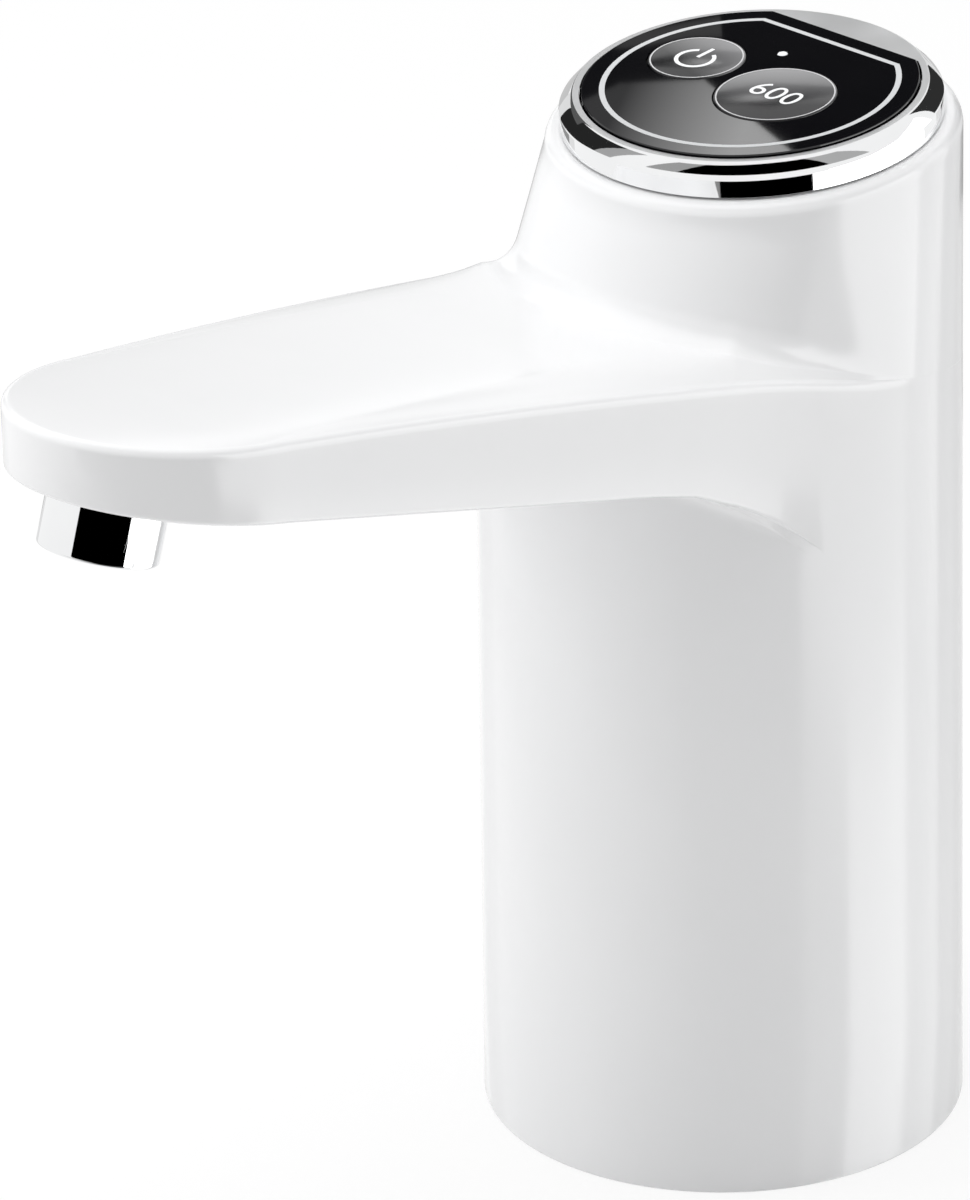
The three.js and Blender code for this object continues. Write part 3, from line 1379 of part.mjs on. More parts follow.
const top = new THREE.Group();
top.position.copy(topFrame.position);
top.rotation.copy(topFrame.rotation);
piece(top, 'bezel', bezel(), chrome);
piece(top, 'control_panel', panel(), panelGloss);
for (const key of keyRows) {
  piece(top, `${key.name}_button`, keyCap(key), keyGloss);
  piece(top, `${key.name}_switch`, switchBody(key), darkPlastic);
  piece(top, `${key.name}_switch_plunger`, plunger(key), innerPlastic);
}
piece(top, 'light_pipe', lightPipe(), lightWhite);
piece(top, 'button_carrier', buttonCarrier(), innerPlastic);
piece(top, 'control_board', controlBoard(), boardGreen);
piece(top, 'status_led', block(
  lightX - ledLength / 2, lightX + ledLength / 2, lightY - ledWidth / 2, lightY + ledWidth / 2,
  boardTop + gap, boardTop + gap + ledHeight), lightWhite);
boardPostPlaces.forEach(([x, y], i) => {
  const screw = screwShape(smallHeadRadius, smallHeadHeight, smallShankRadius, smallScrewLength);
  const low = boardBottom - gap - smallHeadHeight;
  piece(top, `board_screw_${i + 1}`, screw.translate(x, y, low), steel);
});
pump.add(top);

piece(pump, 'bottle_collar', bottleCollar(), siliconeWhite);
piece(pump, 'neck_seal', neckSeal(), siliconeWhite);
piece(pump, 'chassis', chassis(), innerPlastic);
bossPlaces.forEach(([x, y], i) => {
  const screw = screwShape(screwHeadRadius, screwHeadHeight, screwShankRadius, screwLength);
  piece(pump, `chassis_screw_${i + 1}`, screw.translate(x, y, floorBottom), steel);
});

piece(pump, 'inlet_grommet', inletGrommet(), siliconeWhite);
piece(pump, 'pump_head', pumpHead(), innerPlastic);
piece(pump, 'valve_plate', valvePlate(), innerPlastic);
piece(pump, 'diaphragm', diaphragm(), darkPlastic);
piece(pump, 'crankcase', crankcase(), innerPlastic);
pumpScrewPlaces.forEach(([x, y], i) => {
  const screw = screwShape(smallHeadRadius, smallHeadHeight, smallShankRadius, pumpScrewLength);
  piece(pump, `pump_screw_${i + 1}`, screw.translate(x, y, pumpHeadBottom), steel);
});
piece(pump, 'wobble_plate', wobblePlate(), darkPlastic);
piece(pump, 'crank_pin', crankPin(), steel);
piece(pump, 'eccentric_wheel', eccentricWheel(), innerPlastic);
piece(pump, 'motor_shaft', motorShaft(), steel);
piece(pump, 'motor_bush', motorBush(), bronze);
piece(pump, 'motor_can', motorCan(), steel);
piece(pump, 'motor_rotor', motorRotor(), bronze);
piece(pump, 'motor_magnet_1', motorMagnet(1), magnetGrey);
piece(pump, 'motor_magnet_2', motorMagnet(-1), magnetGrey);
piece(pump, 'motor_end_cap', motorEndCap(), darkPlastic);
piece(pump, 'lithium_cell', lithiumCell(), cellBlue);
piece(pump, 'top_bracket', topBracket(), innerPlastic);
[1, -1].forEach((side, i) => {
  const screw = screwShape(smallHeadRadius, smallHeadHeight, smallShankRadius,
      smallScrewLength).rotateX(Math.PI);
  screw.translate(side * chassisPostX, webY, bracketTop + gap + smallHeadHeight);
  piece(pump, `bracket_screw_${i + 1}`, screw, steel);
});
piece(pump, 'charging_board', chargingBoard(), boardGreen);
piece(pump, 'charging_socket', chargingSocket(), steel);
piece(pump, 'port_flap', portFlap(), siliconeWhite);

// The origin is the middle of the object's box, on the plane of its bottom rim
const extent = new THREE.Box3().setFromObject(pump, true);
pump.position.y = -(extent.min.y + extent.max.y) / 2;

export default pump;
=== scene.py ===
import bpy
import bmesh
import json
import math
from mathutils import Matrix, Vector


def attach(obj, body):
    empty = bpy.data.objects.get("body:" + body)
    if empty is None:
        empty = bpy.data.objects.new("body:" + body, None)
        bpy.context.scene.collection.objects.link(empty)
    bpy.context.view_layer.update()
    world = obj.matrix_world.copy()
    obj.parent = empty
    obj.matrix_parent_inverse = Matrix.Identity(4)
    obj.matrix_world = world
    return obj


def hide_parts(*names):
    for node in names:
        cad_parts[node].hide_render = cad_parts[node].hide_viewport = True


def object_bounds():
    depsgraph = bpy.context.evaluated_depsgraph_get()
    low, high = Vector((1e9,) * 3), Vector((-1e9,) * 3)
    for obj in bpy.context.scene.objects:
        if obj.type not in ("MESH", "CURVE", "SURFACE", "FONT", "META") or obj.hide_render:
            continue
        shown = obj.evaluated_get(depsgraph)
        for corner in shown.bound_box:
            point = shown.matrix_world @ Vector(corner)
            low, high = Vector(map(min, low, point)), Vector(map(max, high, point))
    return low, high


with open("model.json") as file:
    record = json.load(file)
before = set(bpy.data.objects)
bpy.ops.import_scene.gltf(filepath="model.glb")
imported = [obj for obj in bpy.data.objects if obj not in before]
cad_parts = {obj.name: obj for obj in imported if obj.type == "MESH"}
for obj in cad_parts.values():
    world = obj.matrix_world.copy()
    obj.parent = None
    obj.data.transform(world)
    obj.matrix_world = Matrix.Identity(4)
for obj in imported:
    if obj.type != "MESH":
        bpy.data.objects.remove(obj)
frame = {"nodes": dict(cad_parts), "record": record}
cadLow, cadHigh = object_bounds()
mm = 0.001
quarter = math.pi / 2
overrun = 4  # how far a cutter stands out of what it cuts, in millimetres
print("frame loaded,", len(frame["nodes"]), "CAD nodes")

# sizes in millimetres from the body's axis; reach runs along the spout, towards -Y
body = dict(baseRadius=34.98, topRadius=34.3, draftHeight=150, wall=2, footEdge=0.5)
arm = dict(
    reach=129.5, topAtAxis=122, topAtTip=146.9, crown=1.6, halfAtAxis=31.7, halfAtTip=21.1,
    tipDepth=25.5, underAtBend=115, bendReach=40, underAtTip=137.4, bendRadius=48,
    blendRadius=60, topEdge=1.4, underEdge=0.8, rootFillet=2.5, backRise=3, backPower=4,
    shelfRise=2.6, shelfSlope=0.3, rootRoom=0.5, edgeRoom=0.45)
head = dict(
    baseRadius=31.8, baseY=3.4, topRadius=29.4, topY=6.9, mergeStart=62, mergeEnd=100,
    footFillet=4, rim=2.2)
top = dict(
    tilt=4, centreY=6.8, height=154.7, faceRadius=25.1, bandRadius=27, chamfer=1.95, band=2.75,
    skirtRadius=25.6, skirtWall=1.4, skirtDepth=8, rimLedge=2.5, gap=0.3)
armTip = arm["reach"] - arm["tipDepth"]
shiftY = cadLow.y / mm + arm["reach"]  # the axis stands this far behind the frame's origin
toMetres = Matrix.Translation((0, shiftY * mm, 0)) @ Matrix.Scale(mm, 4)
underSlope = (arm["underAtTip"] - arm["underAtBend"]) / (arm["reach"] - arm["bendReach"])


def newObject(name, data):
    thing = bpy.data.objects.new(name, data)
    bpy.context.collection.objects.link(thing)
    return thing


# camera, solved from the outline of the body, the arm and the key panel
camera = dict(
    azimuth=45.175, elevation=25.204, distance=1340.06, focal=9384.83, imageWidth=970,
    sensor=36, sideways=-33.587, height=78.047, roll=-1.057, nearest=10, farthest=20000)


def direction(azimuth, elevation):
    turn, rise = math.radians(azimuth), math.radians(elevation)
    return Vector((math.sin(turn) * math.cos(rise), -math.cos(turn) * math.cos(rise), math.sin(rise)))


def fromCamera(turn, rise):
    # a direction, by its angle round from the camera and its height
    return direction(camera["azimuth"] + turn, rise)


def addCamera():
    roll = math.radians(camera["roll"])
    back, side = fromCamera(0, camera["elevation"]), fromCamera(90, 0)
    up = back.cross(side)
    across = side * math.cos(roll) + up * math.sin(roll)
    above = up * math.cos(roll) - side * math.sin(roll)
    aim = side * camera["sideways"] + Vector((0, shiftY, camera["height"]))
    data = bpy.data.cameras.new("productCamera")
    data.sensor_fit = "HORIZONTAL"
    data.sensor_width = camera["sensor"]
    data.lens = camera["focal"] / camera["imageWidth"] * camera["sensor"]
    data.clip_start = camera["nearest"] * mm
    data.clip_end = camera["farthest"] * mm
    lens = newObject("productCamera", data)
    place = (aim + back * camera["distance"]) * mm
    lens.matrix_world = Matrix((
        (across.x, above.x, back.x, place.x),
        (across.y, above.y, back.y, place.y),
        (across.z, above.z, back.z, place.z),
        (0, 0, 0, 1)))
    bpy.context.scene.camera = lens
    return place


cameraPlace = addCamera()
print("camera placed")


# materials

def addNode(tree, kind, values=None):
    node = tree.nodes.new("ShaderNode" + kind)
    for socket, value in (values or {}).items():
        node.inputs[socket].default_value = value
    return node


def newMaterial(name, color, roughness, metallic=0.0):
    material = bpy.data.materials.new(name)
    material.use_nodes = True
    tree = material.node_tree
    shader = tree.nodes["Principled BSDF"]
    shader.inputs["Base Color"].default_value = (*color, 1)
    shader.inputs["Roughness"].default_value = roughness
    shader.inputs["Metallic"].default_value = metallic
    return material, tree, shader


def objectNoise(tree, scale, detail=4):
    place = addNode(tree, "TexCoord")
    noise = addNode(tree, "TexNoise", {"Scale": scale, "Detail": detail})
    tree.links.new(place.outputs["Object"], noise.inputs["Vector"])
    return noise.outputs["Fac"]


def objectGradient(tree, start, rotation, length):
    # from 0 at the start to 1 at this length along the turned X axis
    place = addNode(tree, "TexCoord")
    mapping = addNode(
        tree, "Mapping", {"Location": start, "Rotation": rotation, "Scale": (length, length, length)})
    mapping.vector_type = "TEXTURE"
    slope = addNode(tree, "TexGradient")
    tree.links.new(place.outputs["Object"], mapping.inputs["Vector"])
    tree.links.new(mapping.outputs["Vector"], slope.inputs["Vector"])
    return slope.outputs["Fac"]


def shadeTo(tree, source, target, low, high, start=0.35, end=0.65):
    ramp = addNode(tree, "ValToRGB")
    for element, place, color in zip(ramp.color_ramp.elements, (start, end), (low, high)):
        element.position = place
        element.color = (*color, 1)
    tree.links.new(source, ramp.inputs["Fac"])
    tree.links.new(ramp.outputs["Color"], target)


def valueTo(tree, source, target, low, high):
    spread = addNode(tree, "MapRange", {"From Min": 0.3, "From Max": 0.7, "To Min": low, "To Max": high})
    tree.links.new(source, spread.inputs["Value"])
    tree.links.new(spread.outputs["Result"], target)


def addBump(tree, shader, source, strength, depth):
    bump = addNode(tree, "Bump", {"Strength": strength, "Distance": depth * mm})
    tree.links.new(source, bump.inputs["Height"])
    tree.links.new(bump.outputs["Normal"], shader.inputs["Normal"])


def mouldedPlastic(name, low, high, roughness, grain=160, strength=0.02, depth=0.02, clouds=14, vary=0.06):
    material, tree, shader = newMaterial(name, high, roughness)
    cloud = objectNoise(tree, clouds)
    shadeTo(tree, cloud, shader.inputs["Base Color"], low, high)
    fine = objectNoise(tree, grain, detail=2)
    valueTo(tree, fine, shader.inputs["Roughness"], roughness * (1 - vary), roughness * (1 + vary))
    addBump(tree, shader, fine, strength, depth)
    return material


def platedMetal(name, low, high, roughness, grain=500, strength=0.03, depth=0.02, vary=1.25):
    material, tree, shader = newMaterial(name, high, roughness, metallic=1.0)
    streaks = objectNoise(tree, grain, detail=3)
    shadeTo(tree, streaks, shader.inputs["Base Color"], low, high)
    valueTo(tree, streaks, shader.inputs["Roughness"], roughness / vary, roughness * vary)
    if strength > 0:
        addBump(tree, shader, streaks, strength, depth)
    return material


def circuitBoard(name):
    material, tree, shader = newMaterial(name, (0.03, 0.16, 0.07), roughness=0.35)
    place = addNode(tree, "TexCoord")
    tracks = addNode(tree, "TexBrick", {
        "Scale": 260, "Color1": (0.02, 0.14, 0.06, 1), "Color2": (0.03, 0.18, 0.08, 1),
        "Mortar": (0.06, 0.30, 0.14, 1), "Mortar Size": 0.06})
    tree.links.new(place.outputs["Object"], tracks.inputs["Vector"])
    tree.links.new(tracks.outputs["Color"], shader.inputs["Base Color"])
    addBump(tree, shader, tracks.outputs["Fac"], strength=0.2, depth=0.03)
    return material


def woundCopper(name):
    material, tree, shader = newMaterial(name, (0.70, 0.36, 0.17), roughness=0.35, metallic=1.0)
    place = addNode(tree, "TexCoord")
    turns = addNode(tree, "TexWave", {"Scale": 900, "Distortion": 1.5})
    turns.bands_direction = "Z"
    tree.links.new(place.outputs["Object"], turns.inputs["Vector"])
    source = turns.outputs["Fac"]
    shadeTo(tree, source, shader.inputs["Base Color"], (0.38, 0.17, 0.08), (0.78, 0.42, 0.2))
    addBump(tree, shader, source, strength=0.4, depth=0.1)
    return material


def paintedSheenFace(name, dark, light, centre, radius, turn):
    # painted sheen: a reflection painted into the base colour, from dark to grey across the key
    material, tree, shader = newMaterial(name, dark, roughness=0.12)
    slope = objectGradient(tree, centre, (0, 0, turn), radius)
    shadeTo(tree, slope, shader.inputs["Base Color"], dark, light, start=0.3, end=1.0)
    smudge = objectNoise(tree, scale=220, detail=3)
    valueTo(tree, smudge, shader.inputs["Roughness"], low=0.09, high=0.14)
    return material


finish = dict(
    white_shell=mouldedPlastic("whiteShell", (0.80, 0.803, 0.81), (0.83, 0.832, 0.838), 0.16),
    inner_plastic=mouldedPlastic("innerPlastic", (0.62, 0.63, 0.64), (0.68, 0.69, 0.70), 0.5),
    dark_plastic=mouldedPlastic("darkPlastic", (0.018, 0.019, 0.02), (0.03, 0.031, 0.033), 0.5),
    panel_gloss=mouldedPlastic("panelGloss", (0.004, 0.004, 0.005), (0.007, 0.007, 0.008), 0.03, 150, 0.0),
    key_gloss=mouldedPlastic("keyGloss", (0.02, 0.02, 0.022), (0.05, 0.05, 0.053), 0.12, 150, 0.0),
    chrome=platedMetal(
        "chromePlate", (0.86, 0.865, 0.87), (0.90, 0.905, 0.91), 0.035, grain=60, strength=0),
    steel=platedMetal("zincSteel", (0.50, 0.51, 0.52), (0.62, 0.63, 0.64), 0.3),
    winding=woundCopper("woundCopper"),
    magnet=mouldedPlastic("sinteredMagnet", (0.03, 0.031, 0.033), (0.06, 0.061, 0.064), 0.6, 1500, 0.3),
    circuit_board=circuitBoard("circuitBoard"),
    clear_silicone=mouldedPlastic("clearSilicone", (0.70, 0.72, 0.73), (0.78, 0.79, 0.80), 0.3),
    white_silicone=mouldedPlastic("whiteSilicone", (0.62, 0.63, 0.63), (0.70, 0.71, 0.71), 0.55, 700, 0.1),
    cell_sleeve=mouldedPlastic("cellSleeve", (0.02, 0.10, 0.34), (0.03, 0.14, 0.42), 0.3, 400, 0.05),
    light=mouldedPlastic("lightGuide", (0.85, 0.87, 0.9), (0.93, 0.95, 0.97), 0.2, 300, 0.0))
satinFace = platedMetal("satinFace", (0.66, 0.665, 0.67), (0.70, 0.705, 0.71), 0.34, grain=90, strength=0)
printGrey = mouldedPlastic("printGrey", (0.52, 0.53, 0.54), (0.6, 0.61, 0.62), 0.4, 900, 0.0)
printWhite = mouldedPlastic("printWhite", (0.82, 0.83, 0.84), (0.88, 0.89, 0.9), 0.4, 900, 0.0)
outlineGrey = mouldedPlastic("outlineGrey", (0.56, 0.56, 0.57), (0.64, 0.64, 0.65), 0.35, 900, 0.0)
print("materials made")


# mesh helpers, all in millimetres from the body's axis

def meshObject(name, points, faces, material, matrix=None, smoothAngle=32):
    mesh = bpy.data.meshes.new(name)
    place = toMetres @ (matrix or Matrix.Identity(4))
    mesh.from_pydata([place @ Vector(p) for p in points], [], faces)
    mesh.validate()
    thing = newObject(name, mesh)
    mesh.materials.append(material)
    tidyNormals(thing, smoothAngle)
    return thing


def tidyNormals(thing, smoothAngle):
    weld = 0.0001 * mm
    work = bmesh.new()
    work.from_mesh(thing.data)
    bmesh.ops.remove_doubles(work, verts=work.verts, dist=weld)
    bmesh.ops.dissolve_degenerate(work, edges=work.edges, dist=weld)
    bmesh.ops.recalc_face_normals(work, faces=work.faces)
    work.to_mesh(thing.data)
    work.free()
    for face in thing.data.polygons:
        face.use_smooth = True
    thing.data.set_sharp_from_angle(angle=math.radians(smoothAngle))


def ringFaces(rings, closed=True):
    count = len(rings[0])
    faces = []
    for k in range(len(rings) - 1):
        for i in range(count if closed else count - 1):
            a, b = k * count + i, k * count + (i + 1) % count
            faces.append((a, b, b + count, a + count))
    return faces


def loft(name, rings, material=None, matrix=None, smoothAngle=32):
    count = len(rings[0])
    points = [p for ring in rings for p in ring]
    faces = ringFaces(rings)
    faces.append(tuple(range(count))[::-1])
    faces.append(tuple((len(rings) - 1) * count + i for i in range(count)))
    return meshObject(name, points, faces, material, matrix, smoothAngle)


def turned(name, profile, material=None, matrix=None, sides=96, smoothAngle=32):
    # profile is a list of (radius, height); it closes on itself or ends on the axis
    points, faces, rows = [], [], []
    for radius, height in profile:
        if radius == 0:
            rows.append([len(points)])
            points.append((0, 0, height))
        else:
            rows.append(range(len(points), len(points) + sides))
            for i in range(sides):
                turn = 2 * math.pi * i / sides
                points.append((radius * math.cos(turn), radius * math.sin(turn), height))
    pairs = list(zip(rows, rows[1:]))
    if profile[0][0] > 0 and profile[-1][0] > 0:
        pairs.append((rows[-1], rows[0]))
    for low, high in pairs:
        for i in range(sides):
            j = (i + 1) % sides
            if len(low) == 1 and len(high) == 1:
                continue
            if len(low) == 1:
                faces.append((low[0], high[j], high[i]))
            elif len(high) == 1:
                faces.append((low[i], low[j], high[0]))
            else:
                faces.append((low[i], low[j], high[j], high[i]))
    return meshObject(name, points, faces, material, matrix, smoothAngle)


def prism(name, outline, low, high, material=None, matrix=None, smoothAngle=32):
    rings = [[(x, y, height) for x, y in outline] for height in (low, high)]
    return loft(name, rings, material, matrix, smoothAngle)


def disc(radius, low, high, x=0, y=0, matrix=None, sides=64, name="cutter", material=None):
    profile = [(0, low), (radius, low), (radius, high), (0, high)]
    shifted = (matrix or Matrix.Identity(4)) @ Matrix.Translation((x, y, 0))
    return turned(name, profile, material, shifted, sides)


def box(low, high, matrix=None):
    outline = [(low[0], low[1]), (high[0], low[1]), (high[0], high[1]), (low[0], high[1])]
    return prism("cutter", outline, low[2], high[2], None, matrix)


def combine(thing, tools, operation, smoothAngle=32):
    # the tools are used up, and the new faces take the thing's own finish
    for tool in tools:
        step = thing.modifiers.new("step", "BOOLEAN")
        step.operation = operation
        step.solver = "EXACT"
        step.object = tool
        graph = bpy.context.evaluated_depsgraph_get()
        made = bpy.data.meshes.new_from_object(thing.evaluated_get(graph))
        thing.modifiers.remove(step)
        old = thing.data
        thing.data = made
        bpy.data.meshes.remove(old)
        bpy.data.objects.remove(tool)
    tidyNormals(thing, smoothAngle)
    return thing


def rideAs(piece, carrier="body"):
    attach(piece, carrier)


def standFor(piece, node, carrier="body"):
    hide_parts(node)
    rideAs(piece, carrier)


def rounded(corner, radius, start, end, steps=4):
    # points of an arc about a corner's centre, as (radius, height) pairs
    points = [around(radius, lerp(start, end, i / steps)) for i in range(steps + 1)]
    return [(corner[0] + x, corner[1] + y) for x, y in points]


def around(reach, angle):
    return reach * math.cos(math.radians(angle)), reach * math.sin(math.radians(angle))


def lerp(a, b, share):
    return a + (b - a) * share


topFrame = Matrix.Translation((0, top["centreY"], top["height"])) @ Matrix.Rotation(
    math.radians(top["tilt"]), 4, "X")
topNormal = (topFrame.to_3x3() @ Vector((0, 0, 1))).normalized()


# outer surface of the housing: body, arm and head in one skin

def bodyRadius(height):
    return lerp(body["baseRadius"], body["topRadius"], height / body["draftHeight"])


def topHeight(reach):
    share = reach / arm["reach"]
    return lerp(arm["topAtAxis"], arm["topAtTip"], share) + arm["crown"] * (1 - (2 * share - 1) ** 2)


def underHeight(reach):
    # a straight underside that bends down in an arc towards the body
    if reach >= arm["bendReach"]:
        return arm["underAtBend"] + underSlope * (reach - arm["bendReach"])
    start = math.atan(underSlope)
    sine = min(math.sin(start) + (arm["bendReach"] - reach) / arm["bendRadius"], 1)
    return arm["underAtBend"] - arm["bendRadius"] * (math.cos(start) - math.sqrt(1 - sine * sine))


def planBlend():
    # the arc in plan that runs the arm's side into the body: its start, end and centre
    taper = math.atan((arm["halfAtAxis"] - arm["halfAtTip"]) / armTip)
    radius = bodyRadius(arm["underAtBend"]) + arm["blendRadius"]
    angle = taper + math.acos((arm["halfAtAxis"] * math.cos(taper) + arm["blendRadius"]) / radius)
    return taper, angle, radius * math.cos(angle), radius * math.sin(angle)


def halfOutline(columns):
    # one half of the plan: round tip, straight flank, blend, back of the body
    taper, angle, centreX, centreReach = planBlend()
    blend = arm["blendRadius"]
    places = []
    for i in range(columns["tip"] + 1):
        turn = quarter * i / columns["tip"]
        places.append((arm["halfAtTip"] * math.sin(turn), armTip + arm["tipDepth"] * math.cos(turn)))
    flankEnd = centreReach - blend * math.sin(taper)
    for i in range(1, columns["flank"] + 1):
        reach = lerp(armTip, flankEnd, i / columns["flank"])
        places.append((lerp(arm["halfAtAxis"], arm["halfAtTip"], reach / armTip), reach))
    for i in range(1, columns["blend"] + 1):
        turn = lerp(taper, angle, i / columns["blend"])
        places.append((centreX - blend * math.cos(turn), centreReach - blend * math.sin(turn)))
    rootAngle = quarter - angle
    last = len(places) - 1
    outline = [
        dict(x=x, reach=reach, angle=rootAngle * i / last, onBody=i == last)
        for i, (x, reach) in enumerate(places)]
    radius = bodyRadius(arm["underAtBend"])
    for i in range(1, columns["back"] + 1):
        turn = lerp(rootAngle, math.pi, i / columns["back"])
        x, reach = radius * math.sin(turn), radius * math.cos(turn)
        outline.append(dict(x=x, reach=reach, angle=turn, onBody=True))
    return outline, rootAngle


def planColumns(columns, inset):
    # the whole plan, each column with the way out of the wall there
    half, rootAngle = halfOutline(columns)
    mirrored = [dict(c, x=-c["x"], angle=2 * math.pi - c["angle"]) for c in half[1:-1][::-1]]
    whole = half + mirrored
    made = []
    for i, column in enumerate(whole):
        before, after = whole[i - 1], whole[(i + 1) % len(whole)]
        along = Vector((after["x"] - before["x"], after["reach"] - before["reach"])).normalized()
        normal = Vector((-along.y, along.x))
        if column["onBody"]:
            normal = Vector((math.sin(column["angle"]), math.cos(column["angle"])))
        if normal.x * column["x"] + normal.y * column["reach"] < 0:
            normal = -normal
        folded = min(column["angle"], 2 * math.pi - column["angle"])
        made.append(dict(
            column, x=column["x"] - normal.x * inset, reach=column["reach"] - normal.y * inset,
            normal=normal, folded=folded, share=min(folded / rootAngle, 1)))
    return made


def smoothShare(value, low, high):
    share = min(max((value - low) / (high - low), 0), 1)
    return share * share * (3 - 2 * share)


def skinRings(inset, columnCounts, steps):
    # rings of points from the foot to the rim, this far inside the outer surface
    columns = planColumns(columnCounts, inset)
    drop = inset / math.cos(math.atan(underSlope))
    rootReach = bodyRadius(arm["underAtBend"]) * math.sin(planBlend()[1]) - inset
    mergeStart, mergeEnd = math.radians(head["mergeStart"]), math.radians(head["mergeEnd"])
    rimHeight = -(top["chamfer"] + top["band"] + top["gap"])
    headTop = rimHeight - (top["rimLedge"] if inset > 0 else head["rim"])

    # places in plan are (x, reach) vectors
    def fromAxis(c, radius):
        return Vector((radius * math.sin(c["angle"]), radius * math.cos(c["angle"])))

    def onBody(c, height):
        return fromAxis(c, bodyRadius(height) - inset)

    def under(c, reach):
        return underHeight(rootReach if c["onBody"] else reach) + drop

    def spread(c):
        # keeps the rings apart round the back of the body
        return arm["backRise"] * c["share"] ** arm["backPower"]

    def outline(c, extra):
        return Vector((c["x"], c["reach"])) - c["normal"] * extra

    def junction(c):
        return onBody(c, under(c, body["baseRadius"]))

    def edgeInset(c):
        # the edge gets finer where the arm runs into the body
        return min(arm["underEdge"], (outline(c, 0) - junction(c)).length * arm["rootRoom"])

    def clearOf(place, height):
        # nothing of the arm goes inside the round body
        least = bodyRadius(height) - inset
        return place if place.length > least else place * (least / place.length), height

    def rootPush(c):
        room = (junction(c) - outline(c, edgeInset(c))).length
        return min(arm["rootFillet"] / room, arm["rootRoom"]) if room > 0 else 0

    def headFoot(c):
        inner = fromAxis(c, head["baseRadius"] - inset) - Vector((0, head["baseY"]))
        return inner.lerp(onBody(c, arm["topAtAxis"]), smoothShare(c["folded"], mergeStart, mergeEnd))

    def topInset(c):
        return min(arm["topEdge"], arm["edgeRoom"] * (outline(c, 0) - headFoot(c)).length)

    def pushIn(c, amount):
        shoulder = onBody(c, topHeight(c["reach"])) if c["onBody"] else outline(c, 0)
        return shoulder - c["normal"] * amount

    def shelf(c, share):
        return pushIn(c, topInset(c)).lerp(headFoot(c), share)

    def shelfRoom(c):
        return (shelf(c, 0) - headFoot(c)).length

    def shelfRise(c):
        return min(arm["shelfRise"], arm["shelfSlope"] * shelfRoom(c))

    def footPush(c):
        room = shelfRoom(c)
        return min(head["footFillet"] / room, arm["edgeRoom"]) if room > 0 else 0

    def rim(c, radius, height):
        x, reach = fromAxis(c, radius)
        return topFrame @ Vector((x, head["topY"] - top["centreY"] - reach, height))

    def onHead(c, share):
        x, reach = headFoot(c)
        foot = Vector((x, -reach, topHeight(reach) - drop + shelfRise(c)))
        return foot.lerp(rim(c, head["topRadius"] - inset, headTop), share)

    def wallShare(c, rise):
        return rise / (onHead(c, 1).z - onHead(c, 0).z)

    # each of these gives a column's place in plan, and its height
    def footPlace(c, turn):
        place, edge = onBody(c, 0), body["footEdge"]
        return place * (1 - edge * (1 - math.sin(turn)) / place.length), edge * (1 - math.cos(turn))

    def wallPlace(c, share):
        height = lerp(body["footEdge"], under(c, onBody(c, 0).y) - arm["rootFillet"] * 2, share)
        return onBody(c, height), height

    def filletPlace(c, turn):
        push = 0 if c["onBody"] else rootPush(c) * (1 - math.cos(turn))
        place = junction(c).lerp(outline(c, edgeInset(c)), push)
        return clearOf(place, under(c, place.y) - arm["rootFillet"] * (1 - math.sin(turn)))

    def underPlace(c, share):
        along = 0 if c["onBody"] else lerp(rootPush(c), 1, share)
        place = junction(c).lerp(outline(c, edgeInset(c)), along)
        return clearOf(place, under(c, place.y) + spread(c) * share)

    def edgePlace(c, turn):
        place = junction(c) if c["onBody"] else outline(c, edgeInset(c) * (1 - math.sin(turn)))
        return clearOf(place, under(c, place.y) + spread(c) + edgeInset(c) * (1 - math.cos(turn)))

    def topPlace(c, turn):
        place = pushIn(c, topInset(c) * (1 - math.cos(turn)))
        return place, topHeight(place.y) - drop - arm["topEdge"] * (1 - math.sin(turn))

    def shelfPlace(c, share):
        place = shelf(c, (1 - footPush(c)) * share)
        return place, topHeight(place.y) - drop + shelfRise(c) * share

    def headFootPlace(c, turn):
        place = shelf(c, 1 - footPush(c) * (1 - math.sin(turn)))
        rise = head["footFillet"] * (1 - math.cos(turn))
        lean = onHead(c, wallShare(c, rise)) - onHead(c, 0)
        return place + Vector((lean.x, -lean.y)), topHeight(place.y) - drop + shelfRise(c) + rise

    def headPlace(c, share):
        point = onHead(c, lerp(wallShare(c, head["footFillet"]), 1, share))
        return Vector((point.x, -point.y)), point.z

    def rimPlace(c, turn):
        radius = head["topRadius"] - head["rim"] * (1 - math.cos(turn))
        point = rim(c, radius, rimHeight - head["rim"] * (1 - math.sin(turn)))
        return Vector((point.x, -point.y)), point.z

    stages = dict(
        foot=footPlace, wall=wallPlace, fillet=filletPlace, under=underPlace, edge=edgePlace, top=topPlace,
        shelf=shelfPlace, headFoot=headFootPlace, head=headPlace, rim=rimPlace)
    rings = []
    if inset > 0:  # the cavity runs out through the open foot
        rings.append([(onBody(c, 0).x, -onBody(c, 0).y, -overrun) for c in columns])
    for stage, placeOf in stages.items():
        for value in steps[stage]:
            placed = [placeOf(c, value) for c in columns]
            rings.append([(place.x, -place.y, height) for place, height in placed])
    return rings


def turns(count, first=1):
    return [quarter * i / count for i in range(first, count + 1)]


def shares(count):
    return [i / count for i in range(1, count + 1)]


outerColumns = dict(tip=26, flank=10, blend=22, back=44)
outerSteps = dict(
    foot=turns(4, 0), wall=shares(5), fillet=turns(6, 0), under=shares(8), edge=turns(5), top=turns(7, 0),
    shelf=shares(8), headFoot=turns(10), head=shares(4), rim=turns(6))
innerColumns = dict(tip=8, flank=3, blend=4, back=14)
innerSteps = dict(
    foot=[], wall=[], fillet=turns(1, 0), under=shares(2), edge=turns(1), top=turns(1, 0), shelf=shares(2),
    headFoot=turns(1), head=shares(1), rim=[])

